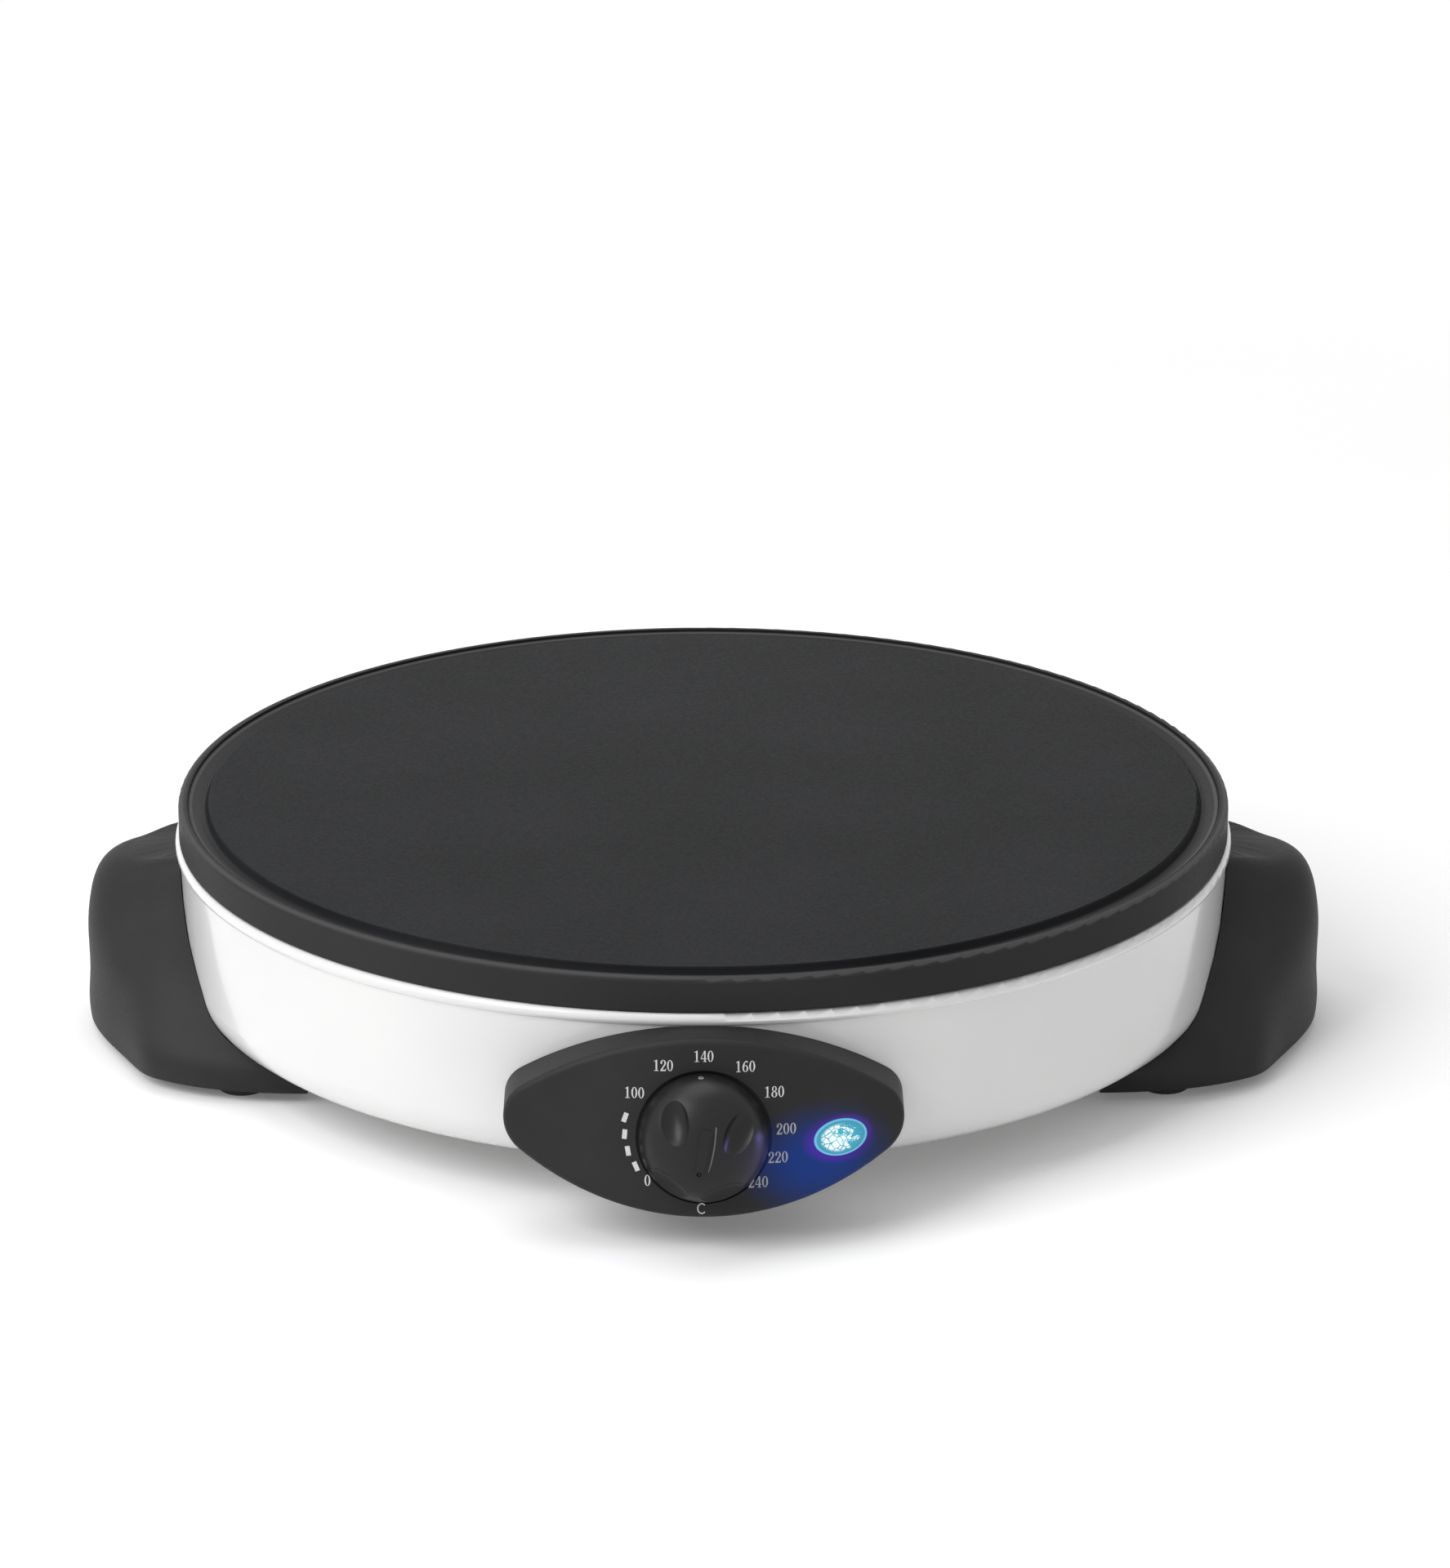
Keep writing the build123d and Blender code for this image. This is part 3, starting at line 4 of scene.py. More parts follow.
import bpy
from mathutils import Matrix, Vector
from mathutils.bvhtree import BVHTree

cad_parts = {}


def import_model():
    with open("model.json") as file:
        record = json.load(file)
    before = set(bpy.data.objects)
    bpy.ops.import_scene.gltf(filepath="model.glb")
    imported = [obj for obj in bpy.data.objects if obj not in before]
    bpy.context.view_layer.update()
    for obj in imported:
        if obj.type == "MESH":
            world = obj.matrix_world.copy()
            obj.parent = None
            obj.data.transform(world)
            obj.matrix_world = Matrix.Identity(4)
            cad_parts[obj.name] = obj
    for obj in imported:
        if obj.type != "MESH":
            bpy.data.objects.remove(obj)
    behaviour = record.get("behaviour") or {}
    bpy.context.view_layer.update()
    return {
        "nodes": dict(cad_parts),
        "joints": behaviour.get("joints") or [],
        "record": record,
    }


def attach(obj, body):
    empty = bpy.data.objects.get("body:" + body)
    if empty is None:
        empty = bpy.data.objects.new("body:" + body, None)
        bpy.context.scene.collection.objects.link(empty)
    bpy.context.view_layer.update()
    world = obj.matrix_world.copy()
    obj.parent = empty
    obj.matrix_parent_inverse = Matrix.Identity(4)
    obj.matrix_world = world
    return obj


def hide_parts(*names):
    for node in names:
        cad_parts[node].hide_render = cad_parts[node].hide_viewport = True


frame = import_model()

# The looks of the electric crepe maker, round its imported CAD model. Sizes and places are in mm
# unless a comment says otherwise, and MM turns them into Blender's metres. The front is -Y.

MM = 0.001

# ------------------------------------------------------------------ places the looks refer to

mounts = {mount["name"]: mount for mount in frame["record"]["mounts"]}
plate_top = mounts["cooking_surface"]["pos_m"]
SHIFT_Y = plate_top[1] / MM         # the plate's axis lies this far behind the origin
CREST = plate_top[2] / MM           # height of the plate's top

knob_joint = frame["joints"][0]
KNOB_AT = Vector(knob_joint["pos_m"]) / MM   # where the knob's axis leaves the panel's face
KNOB_OUT = Vector(knob_joint["axis"])
KNOB_UP = KNOB_OUT.cross(Vector((1.0, 0.0, 0.0)))
TILT = math.asin(KNOB_OUT.z)        # the face leans back by this angle

PLATE_RADIUS = 165.0
PANEL_DEPTH = 12.0          # from the plate's edge out to the top of the panel's face
PANEL_TOP = 62.6
FACE_SLOPE = math.tan(TILT)
FACE_CONE = PLATE_RADIUS + PANEL_DEPTH + PANEL_TOP * FACE_SLOPE   # the face's radius at height 0

LENS_RIGHT = 39.78          # the lens's centre, right of the middle
LENS_HEIGHT = 32.8
LENS_TURN = math.radians(9.0)
LENS_HALF = (8.0, 5.35)


def face_radius(height):
    """Radius of the panel's conical face round the plate's axis."""
    return FACE_CONE - height * FACE_SLOPE


def lens_frame():
    """Centre of the lens, its long and short axes and its normal."""
    radius = face_radius(LENS_HEIGHT)
    angle = math.asin(LENS_RIGHT / radius)
    centre = Vector((LENS_RIGHT, -radius * math.cos(angle) + SHIFT_Y, LENS_HEIGHT))
    outward = Vector((math.sin(angle), -math.cos(angle), 0.0))
    normal = outward * math.cos(TILT) + Vector((0.0, 0.0, math.sin(TILT)))
    across = Vector((math.cos(angle), math.sin(angle), 0.0))
    up = normal.cross(across)
    side = across * math.cos(LENS_TURN) + up * math.sin(LENS_TURN)
    rise = up * math.cos(LENS_TURN) - across * math.sin(LENS_TURN)
    return centre, side, rise, normal


LENS_AT, LENS_SIDE, LENS_RISE, LENS_NORMAL = lens_frame()

# ------------------------------------------------------------------ node helpers

MIX_FACTOR, MIX_A, MIX_B, MIX_RESULT = 0, 6, 7, 2   # the colour sockets of a Mix node
NOISE_LOW, NOISE_HIGH = 0.3, 0.7                    # a noise field lies mostly between these
LINE_CORE = 0.35                                    # share of a soft line that is full


def feed(tree, value, socket):
    """Give a socket a number, a colour or the output of another node."""
    if isinstance(value, tuple):
        socket.default_value = (*value, 1.0)
    elif isinstance(value, (int, float)):
        socket.default_value = value
    else:
        tree.links.new(value, socket)


class Mat:
    """A material being made: a Principled shader, and helpers that add nodes round it."""

    def __init__(self, name):
        self.mat = bpy.data.materials.new(name)
        self.mat.use_nodes = True
        self.tree = self.mat.node_tree
        self.tree.nodes.clear()
        self.out = self.add("ShaderNodeOutputMaterial")
        self.bsdf = self.add("ShaderNodeBsdfPrincipled")
        self.link(self.bsdf.outputs[0], self.out.inputs["Surface"])
        self.where = self.add("ShaderNodeTexCoord").outputs["Object"]

    def add(self, kind, **props):
        node = self.tree.nodes.new(kind)
        for key, value in props.items():
            setattr(node, key, value)
        return node

    def link(self, a, b):
        self.tree.links.new(a, b)

    # fields over the surface

    def mapped(self, scale, location=(0, 0, 0)):
        """The place on the object, in metres, scaled and then shifted."""
        node = self.add("ShaderNodeMapping")
        node.inputs["Scale"].default_value = scale
        node.inputs["Location"].default_value = location
        self.link(self.where, node.inputs["Vector"])
        return node.outputs[0]

    def noise(self, size, detail=2.0, rough=0.5, source=None, distortion=0.0):
        node = self.add("ShaderNodeTexNoise")
        node.inputs["Scale"].default_value = 1.0 / (size * MM)
        node.inputs["Detail"].default_value = detail
        node.inputs["Roughness"].default_value = rough
        node.inputs["Distortion"].default_value = distortion
        self.link(source or self.where, node.inputs["Vector"])
        return node.outputs["Fac"]

    def cells(self, size, feature="F1"):
        node = self.add("ShaderNodeTexVoronoi", feature=feature)
        node.inputs["Scale"].default_value = 1.0 / (size * MM)
        self.link(self.where, node.inputs["Vector"])
        return node.outputs["Distance"]

    def radius(self):
        """Distance from the plate's axis, in mm."""
        flat = self.mapped(scale=(1, 1, 0), location=(0, -SHIFT_Y * MM, 0))
        away = self.add("ShaderNodeVectorMath", operation="LENGTH")
        self.link(flat, away.inputs[0])
        return self.math("DIVIDE", away.outputs["Value"], MM)

    def along(self, origin, axis):
        """Distance from a point along an axis, in mm."""
        shift = self.add("ShaderNodeVectorMath", operation="SUBTRACT")
        self.link(self.where, shift.inputs[0])
        shift.inputs[1].default_value = tuple(origin * MM)
        dot = self.add("ShaderNodeVectorMath", operation="DOT_PRODUCT")
        self.link(shift.outputs[0], dot.inputs[0])
        dot.inputs[1].default_value = tuple(axis / MM)
        return dot.outputs["Value"]

    def oval(self, centre, halves):
        """Nought at the centre and one on an oval that lies as the lens does."""
        squares = []
        for axis, half in zip((LENS_SIDE, LENS_RISE), halves):
            share = self.math("DIVIDE", self.along(centre, axis), half)
            squares.append(self.math("POWER", share, 2.0))
        return self.math("SQRT", self.math("ADD", *squares))

    # sums on fields

    def math(self, op, a, b=0.0):
        node = self.add("ShaderNodeMath", operation=op)
        feed(self.tree, a, node.inputs[0])
        feed(self.tree, b, node.inputs[1])
        return node.outputs[0]

    def times(self, a, b):
        return self.math("MULTIPLY", a, b)

    def span(self, value, low, high, to_low=0.0, to_high=1.0, smooth=False):
        """Take low to to_low and high to to_high, flat beyond them."""
        node = self.add("ShaderNodeMapRange")
        node.interpolation_type = "SMOOTHSTEP" if smooth else "LINEAR"
        self.link(value, node.inputs["Value"])
        ends = (("From Min", low), ("From Max", high), ("To Min", to_low), ("To Max", to_high))
        for key, number in ends:
            node.inputs[key].default_value = number
        return node.outputs["Result"]

    def fade(self, value, full, gone, top=1.0, smooth=False):
        """Top up to one value, and nought from another on."""
        return self.span(value, full, gone, top, 0.0, smooth)

    def line_at(self, value, centre, half):
        """One on a soft line at a value, falling to nought at half its width."""
        off = self.math("ABSOLUTE", self.math("SUBTRACT", value, centre))
        return self.fade(off, half * LINE_CORE, half, smooth=True)

    def blend(self, factor, a, b):
        node = self.add("ShaderNodeMix", data_type="RGBA")
        self.link(factor, node.inputs[MIX_FACTOR])
        feed(self.tree, a, node.inputs[MIX_A])
        feed(self.tree, b, node.inputs[MIX_B])
        return node.outputs[MIX_RESULT]

    def tones(self, field, dark, light, low=NOISE_LOW, high=NOISE_HIGH):
        """A colour that drifts between two tones with a noise field."""
        return self.blend(self.span(field, low, high), dark, light)

    # the shader's own sockets

    def put(self, **sockets):
        for key, value in sockets.items():
            self.bsdf.inputs[key.replace("_", " ")].default_value = value

    def colour(self, value):
        self.link(value, self.bsdf.inputs["Base Color"])

    def rough(self, field, smoothest, roughest):
        """Roughness that follows a noise field."""
        value = self.span(field, NOISE_LOW, NOISE_HIGH, smoothest, roughest)
        self.link(value, self.bsdf.inputs["Roughness"])

    def emit(self, colour, strength):
        feed(self.tree, colour, self.bsdf.inputs["Emission Color"])
        feed(self.tree, strength, self.bsdf.inputs["Emission Strength"])

    def bump(self, height, depth, strength):
        node = self.add("ShaderNodeBump")
        node.inputs["Strength"].default_value = strength
        node.inputs["Distance"].default_value = depth * MM
        self.link(height, node.inputs["Height"])
        self.link(node.outputs[0], self.bsdf.inputs["Normal"])


# ------------------------------------------------------------------ kinds of material


def toned(base, share):
    """A colour made lighter or darker."""
    return tuple(min(1.0, level * share) for level in base)


def moulded(name, base, grain=0.55, rough=(0.42, 0.52), grain_depth=0.05, spread=0.12, gloss=0.28):
    """Moulded plastic with a fine spark grain and a slight drift of tone."""
    m = Mat(name)
    drift = m.noise(size=38, detail=3)
    fine = m.noise(size=grain, detail=2)
    m.colour(m.tones(drift, toned(base, 1 - spread), toned(base, 1 + spread), low=0.35, high=0.65))
    m.rough(fine, *rough)
    m.bump(fine, depth=grain_depth, strength=0.6)
    m.put(Specular_IOR_Level=gloss)
    return m


def metal(name, base, rough=(0.22, 0.38), stretch=(1, 1, 1), grain=0.4):
    """Bare metal, with drawn lines that run across the axis of the largest stretch."""
    m = Mat(name)
    lines = m.noise(size=grain, detail=3, source=m.mapped(scale=stretch))
    wide = m.noise(size=14, detail=3)
    m.colour(m.tones(wide, toned(base, 0.84), toned(base, 1.08)))
    m.rough(lines, *rough)
    m.bump(lines, depth=0.01, strength=0.5)
    m.put(Metallic=1.0)
    return m


def printed(name, base):
    """Pad-printed ink: matte and slightly uneven."""
    m = Mat(name)
    thin = m.noise(size=0.35, detail=3)
    m.colour(m.tones(thin, toned(base, 0.82), base, low=0.35, high=0.6))
    m.rough(thin, smoothest=0.45, roughest=0.6)
    return m


# ------------------------------------------------------------------ materials of the slots

COAT_TONES = ((0.0085, 0.009, 0.010), (0.0125, 0.013, 0.0145))
SPECK_TONE = (0.04, 0.04, 0.042)
SPECK_PITCH = 2.6
SPECK_CORE, SPECK_END = 0.05, 0.09  # share of the pitch where a speck is full, and where it ends
SPECK_STRENGTH = 0.35
# the rim's paler tones: partly the rim's own finish, partly painted sheen
RIM_FINISH_AND_SHEEN_TONES = ((0.032, 0.032, 0.033), (0.038, 0.038, 0.039))
RIM_FROM, RIM_FULL = 155.5, 158.5   # radii between which the coat turns into the paler rim tone, partly the rim's own finish and partly painted sheen
RIM_PAINTED_LIGHT_LINES = (                       # painted highlights on the rim's edges and a painted shadow line between them: radius, half width, strength, tone
    (161.1, 0.7, 0.8, (0.085, 0.085, 0.086)),
    (164.0, 0.9, 0.7, (0.080, 0.080, 0.081)),
    (162.1, 0.5, 0.8, (0.004, 0.004, 0.004)),
)


def plate_material():
    """Black non-stick coat: finely pebbled, with faint mineral specks, a paler rim tone that is
    partly painted sheen, and painted highlight and shadow lines on the rim.
    """
    m = Mat("nonstick_black")
    pebble = m.noise(size=0.9, detail=3)
    drift = m.noise(size=60, detail=2)
    specks = m.fade(m.cells(size=SPECK_PITCH), SPECK_CORE, SPECK_END)
    tone = m.blend(m.times(specks, SPECK_STRENGTH), m.tones(drift, *COAT_TONES), SPECK_TONE)
    radius = m.radius()
    # paler rim tone, partly finish and partly painted sheen
    tone = m.blend(m.span(radius, RIM_FROM, RIM_FULL, smooth=True), tone, m.tones(drift, *RIM_FINISH_AND_SHEEN_TONES))
    # paint the rim's highlight lines and its shadow line into the coat's colour
    for centre, half, strength, line_tone in RIM_PAINTED_LIGHT_LINES:
        tone = m.blend(m.times(m.line_at(radius, centre, half), strength), tone, line_tone)
    m.colour(tone)
    m.rough(pebble, smoothest=0.38, roughest=0.50)
    m.bump(pebble, depth=0.05, strength=0.45)
    m.put(Specular_IOR_Level=0.035)
    return m


ENAMEL_TONES = ((0.80, 0.80, 0.80), (0.84, 0.84, 0.835))


def enamel_material():
    """White sprayed enamel: glossy, with slight orange peel."""
    m = Mat("white_enamel")
    peel = m.noise(size=3.2, detail=1.5)
    drift = m.noise(size=70, detail=2)
    m.colour(m.tones(drift, *ENAMEL_TONES))
    m.rough(peel, smoothest=0.16, roughest=0.22)
    m.bump(peel, depth=0.02, strength=0.25)
    m.put(Coat_Weight=0.4, Coat_Roughness=0.05, Specular_IOR_Level=0.5)
    return m


# The lamp's glow on the panel, painted into the panel's colour and emission. The fades are in half
# widths of their ovals.
GLOW_AT = LENS_AT + Vector((-7.0, 0.0, -6.5))   # the wide glow's middle, below and left of the lens
GLOW_HALF = (17.0, 12.0)
GLOW_FULL, GLOW_END = 0.25, 1.55
GLOW_BASE = (0.004, 0.010, 0.030)   # the dark blue that the plastic's colour is painted to in the glow, as painted lamp light
GLOW_BASE_SHARE = 0.85
GLOW_STRENGTH = 0.80
HALO_FULL, HALO_END = 1.0, 1.45     # the halo close round the lens
HALO_STRENGTH = 0.75
# colours of the painted glow's emission, near the lens and further out
GLOW_COLOUR_NEAR, GLOW_COLOUR_FAR = (0.075, 0.010, 0.42), (0.0, 0.026, 0.20)
GLOW_COLOUR_FROM, GLOW_COLOUR_TO = 1.0, 1.5
FACE_GONE, FACE_FULL = 2.2, 0.7     # depths under the face between which the glow fades out


def panel_material():
    """Charcoal moulded panel, with the lamp's blue light painted over its face as colour and
    emission.
    """
    m = moulded("panel_charcoal", (0.026, 0.026, 0.027), grain=0.5, rough=(0.44, 0.54),
                grain_depth=0.04, gloss=0.14)
    wide = m.oval(GLOW_AT, GLOW_HALF)
    near = m.oval(LENS_AT, LENS_HALF)
    split = m.add("ShaderNodeSeparateXYZ")
    m.link(m.where, split.inputs[0])
    cone = m.math("ADD", m.radius(), m.times(split.outputs["Z"], FACE_SLOPE / MM))
    face = m.span(cone, FACE_CONE - FACE_GONE, FACE_CONE - FACE_FULL)
    glow = m.times(face, m.fade(wide, GLOW_FULL, GLOW_END, smooth=True))
    halo = m.times(face, m.fade(near, HALO_FULL, HALO_END, top=HALO_STRENGTH, smooth=True))
    plastic = m.bsdf.inputs["Base Color"].links[0].from_socket
    # the painted glow: the plastic's colour turns dark blue there, and the face emits blue light
    m.colour(m.blend(m.times(glow, GLOW_BASE_SHARE), plastic, GLOW_BASE))
    glow_colour = m.blend(m.span(near, GLOW_COLOUR_FROM, GLOW_COLOUR_TO), GLOW_COLOUR_NEAR, GLOW_COLOUR_FAR)
    m.emit(glow_colour, m.times(m.math("MAXIMUM", glow, halo), GLOW_STRENGTH))
    return m


# The lit lens. The fades are in half widths of its oval.
FIELD_MIDDLE, FIELD_OUTER = (0.012, 0.30, 0.38), (0.006, 0.20, 0.34)
FIELD_FROM, FIELD_TO = 0.3, 0.95
EDGE_TONE = (0.10, 0.42, 0.56)
EDGE_FROM, EDGE_FULL = 0.88, 0.95
LIT_MIDDLE, LIT_RIM = 0.62, 0.40    # strength of the light out to LIT_FROM, and at LIT_TO
LIT_FROM, LIT_TO = 0.5, 1.05
PATCH_TONE = (0.62, 0.70, 0.72)
PATCH_SIZE = 2.6
PATCH_FROM, PATCH_FULL = 0.46, 0.50   # noise levels between which a patch sets in
PATCH_LEFT, PATCH_RIGHT = -5.0, 4.5   # places along the lens between which the noise leans
LEAN_LEFT, LEAN_RIGHT = 0.13, -0.09   # what the lean adds to the noise there
PATCH_OUT, PATCH_END = 0.66, 0.80
CRACK_PITCH = 1.7
CRACK_CORE, CRACK_END = 0.03, 0.08    # share of the pitch


def lens_material():
    """Tinted lens over a neon lamp: cyan field, pale broken patches on the left, blue edge."""
    m = Mat("lens_cyan")
    ring = m.oval(LENS_AT, LENS_HALF)
    clouds = m.noise(size=PATCH_SIZE, detail=4, rough=0.7, distortion=0.6)
    across = m.along(LENS_AT, LENS_SIDE)
    lean = m.span(across, PATCH_LEFT, PATCH_RIGHT, LEAN_LEFT, LEAN_RIGHT)
    patches = m.span(m.math("ADD", clouds, lean), PATCH_FROM, PATCH_FULL)
    patches = m.times(patches, m.fade(ring, PATCH_OUT, PATCH_END))
    cracks = m.cells(size=CRACK_PITCH, feature="DISTANCE_TO_EDGE")
    patches = m.times(patches, m.span(cracks, CRACK_CORE, CRACK_END))
    field = m.blend(m.span(ring, FIELD_FROM, FIELD_TO), FIELD_MIDDLE, FIELD_OUTER)
    field = m.blend(m.span(ring, EDGE_FROM, EDGE_FULL), field, EDGE_TONE)
    lit = m.blend(patches, field, PATCH_TONE)
    m.colour(lit)
    m.emit(lit, m.span(ring, LIT_FROM, LIT_TO, LIT_MIDDLE, LIT_RIM))
    m.put(Roughness=0.12, Coat_Weight=0.5)
    return m


def ceramic_material():
    """Unglazed gritty ceramic."""
    m = Mat("ceramic_white")
    grit = m.noise(size=0.7, detail=4)
    m.colour(m.tones(grit, dark=(0.66, 0.62, 0.54), light=(0.78, 0.75, 0.68)))
    m.rough(grit, smoothest=0.5, roughest=0.7)
    m.bump(grit, depth=0.04, strength=0.5)
    return m


def rubber_material():
    """Dusty black rubber."""
    m = Mat("foot_rubber")
    dust = m.noise(size=1.4, detail=5, rough=0.7)
    m.colour(m.tones(dust, dark=(0.012, 0.012, 0.012), light=(0.035, 0.034, 0.033), low=0.4))
    m.rough(dust, smoothest=0.62, roughest=0.85)
    m.bump(dust, depth=0.08, strength=0.6)
    return m


def glow_material():
    """The lit neon lamp behind the lens."""
    m = Mat("lamp_glow")
    swirl = m.noise(size=1.5, detail=2)
    m.colour(m.blend(swirl, (0.5, 0.85, 0.95), (0.8, 0.97, 1.0)))
    m.emit(m.blend(swirl, (0.1, 0.5, 0.9), (0.4, 0.8, 1.0)), strength=1.5)
    m.put(Roughness=0.2)
    return m


MATERIALS = {
    "nonstick_black": plate_material(),
    "white_enamel": enamel_material(),
    "charcoal_plastic": moulded("charcoal_plastic", (0.0255, 0.0255, 0.026), grain=0.6,
                                rough=(0.50, 0.60), gloss=0.14),
    "knob_plastic": moulded("knob_black", (0.011, 0.011, 0.0115), grain=0.6, rough=(0.30, 0.38),
                            grain_depth=0.02, spread=0.1, gloss=0.26),
    "lens_cyan": lens_material(),
    "lamp_glow": glow_material(),
    "foot_rubber": rubber_material(),
    "steel_plain": metal("steel_plain", (0.56, 0.56, 0.55), stretch=(1, 12, 1)),
    "steel_screw": metal("steel_screw", (0.50, 0.50, 0.48), rough=(0.25, 0.42), grain=0.9),
    "element_sheath": metal("element_sheath", (0.16, 0.13, 0.11), rough=(0.4, 0.6), grain=1.2),
    "shield_aluminium": metal("shield_aluminium", (0.74, 0.74, 0.74), rough=(0.25, 0.45),
                              stretch=(12, 1, 1)),
    "ceramic_white": ceramic_material(),
    "brass_plain": metal("brass_plain", (0.70, 0.50, 0.20), rough=(0.25, 0.4)),
    "copper_tube": metal("copper_tube", (0.72, 0.36, 0.22), rough=(0.25, 0.4)),
    "inlet_plastic": moulded("inlet_plastic", (0.018, 0.018, 0.018), rough=(0.5, 0.6)),
}
PANEL = panel_material()
INK = printed("dial_ink", (0.74, 0.74, 0.72))
INK_DIM = printed("dial_ink_dim", (0.46, 0.46, 0.47))
TICK_INK = printed("tick_ink", (0.80, 0.80, 0.78))
# a lighter grey for the painted highlight on the edge of the knob's ridge
RIDGE_HIGHLIGHT_PAINT = moulded("ridge_highlight_paint", (0.13, 0.13, 0.135), rough=(0.24, 0.30), grain_depth=0.005)

for part in frame["record"]["subparts"]:
    finish = PANEL if part["node"] == "control_panel" else MATERIALS[part["material_slot"]]
    for slot in frame["nodes"][part["node"]].material_slots:
        slot.material = finish.mat

# ------------------------------------------------------------------ adding things to the scene


def show(name, data):
    """A new object for a mesh, a light or a camera, in the scene."""
    obj = bpy.data.objects.new(name, data)
    bpy.context.scene.collection.objects.link(obj)
    return obj


def add_piece(name, verts, faces, finish, body):
    """A mesh piece that rides on a body. Its points are in mm."""
    mesh = bpy.data.meshes.new(name)
    mesh.from_pydata([point * MM for point in verts], [], faces)
    mesh.materials.append(finish.mat)
    obj = show(name, mesh)
    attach(obj, body)
    return obj


# ------------------------------------------------------------------ dial print

PRINT_RISE = 0.05           # the print stands this far off the panel's face
LAYER_RISE = 0.012          # each stroke of a numeral lies this far above the one before
NUMERAL_PITCH = 1.98
NUMERAL_TOP = 1.65          # half of a numeral's height
NUMERAL_HOLLOW = 1.48       # half of the height inside a thin stroke or over a serif
DROP_CORNERS = 14


def on_panel(u, v, rise):
    """A flat dial point, from the knob's centre, laid on the panel's conical face."""
    z = KNOB_AT.z + v * math.cos(TILT)
    radius = face_radius(z) + rise / math.cos(TILT)
    return Vector((u, -math.sqrt(radius * radius - u * u) + SHIFT_Y, z))


def ring(cx, cy, out_a, out_b, in_a, in_b, start=0.0, end=360.0, steps=28):
    """Band between two ovals, or a stretch of it between two angles in degrees."""
    points, faces = [], []
    for k in range(steps + 1):
        t = math.radians(start + (end - start) * k / steps)
        points.append((cx + out_a * math.cos(t), cy + out_b * math.sin(t)))
        points.append((cx + in_a * math.cos(t), cy + in_b * math.sin(t)))
    for k in range(steps):
        faces.append((2 * k, 2 * k + 1, 2 * k + 3, 2 * k + 2))
    return points, faces


def blot(*points):
    """One flat face."""
    return list(points), [tuple(range(len(points)))]


def drop(cx, cy, r):
    """Round end of a stroke."""
    turns = [math.tau * k / DROP_CORNERS for k in range(DROP_CORNERS)]
    return blot(*((cx + r * math.cos(t), cy + r * math.sin(t)) for t in turns))


def rectangle(half_x, half_y):
    """Its four corners, round the origin."""
    return [(-half_x, -half_y), (half_x, -half_y), (half_x, half_y), (-half_x, half_y)]


def serif(left, right):
    """The foot that a numeral stands on."""
    low, high = -NUMERAL_TOP, -NUMERAL_HOLLOW
    return blot((left, low), (right, low), (right, high), (left, high))


# numerals with thick uprights and thin serifs, in overlapping strokes
GLYPHS = {
    "0": [ring(0, 0, 0.86, NUMERAL_TOP, 0.40, NUMERAL_HOLLOW)],
    "1": [
        blot((-0.23, -1.5), (0.23, -1.5), (0.23, NUMERAL_TOP), (-0.05, NUMERAL_TOP), (-0.23, 1.5)),
        serif(-0.66, 0.66),
        blot((-0.66, 1.08), (-0.20, 1.22), (-0.20, 1.52), (-0.66, 1.24)),
    ],
    "2": [
        ring(0, 0.75, 0.80, 0.90, 0.34, 0.75, -32, 180, 18),
        blot((0.29, 0.36), (0.68, 0.28), (-0.28, -1.22), (-0.80, -1.32)),
        blot((-0.80, -NUMERAL_TOP), (0.72, -NUMERAL_TOP), (0.84, -0.92), (0.70, -0.92),
             (0.56, -1.22), (-0.80, -1.22)),
        drop(-0.54, 0.68, 0.25),
    ],
    "4": [
        blot((0.14, -1.5), (0.58, -1.5), (0.58, NUMERAL_TOP), (0.14, NUMERAL_TOP)),
        blot((0.16, NUMERAL_TOP), (-0.86, -0.55), (-0.66, -0.55), (0.16, 1.18)),
        blot((-0.86, -0.84), (0.86, -0.84), (0.86, -0.58), (-0.86, -0.58)),
        serif(-0.16, 0.84),
    ],
    "6": [
        ring(0, -0.62, 0.84, 1.03, 0.38, 0.88),
        ring(0.36, -0.50, 1.20, 2.15, 0.74, 1.99, 88, 180, 14),
        drop(0.46, 1.34, 0.25),
    ],
    "8": [
        ring(0, 0.84, 0.70, 0.81, 0.32, 0.67),
        ring(0, -0.76, 0.85, 0.89, 0.40, 0.74),
    ],
    "C": [ring(0, 0, 1.35, 1.62, 1.02, 1.29, 42, 318, 24)],
}


def lettering(text):
    """Strokes of a number about its own centre: their points, faces and each point's rise."""
    points, faces, rises = [], [], []
    for place, letter in enumerate(text):
        shift = (place - (len(text) - 1) / 2) * NUMERAL_PITCH
        for layer, (stroke, stroke_faces) in enumerate(GLYPHS[letter]):
            first = len(points)
            points += [(x + shift, y) for x, y in stroke]
            rises += [PRINT_RISE + LAYER_RISE * layer] * len(stroke)
            faces += [tuple(i + first for i in face) for face in stroke_faces]
    return points, faces, rises


def dial_mark(name, shape, centre, finish, turn=0.0):
    """Lay a flat shape on the panel at a dial place."""
    points, faces, rises = shape
    c, s = math.cos(turn), math.sin(turn)
    verts = []
    for (x, y), rise in zip(points, rises):
        verts.append(on_panel(centre[0] + x * c - y * s, centre[1] + x * s + y * c, rise))
    add_piece(name, verts, faces, finish, "cooker")


def dial_place(angle, radius):
    """The angle counts anticlockwise from straight up, in degrees, as the user sees it."""
    a = math.radians(angle)
    return -radius * math.sin(a), radius * math.cos(a)


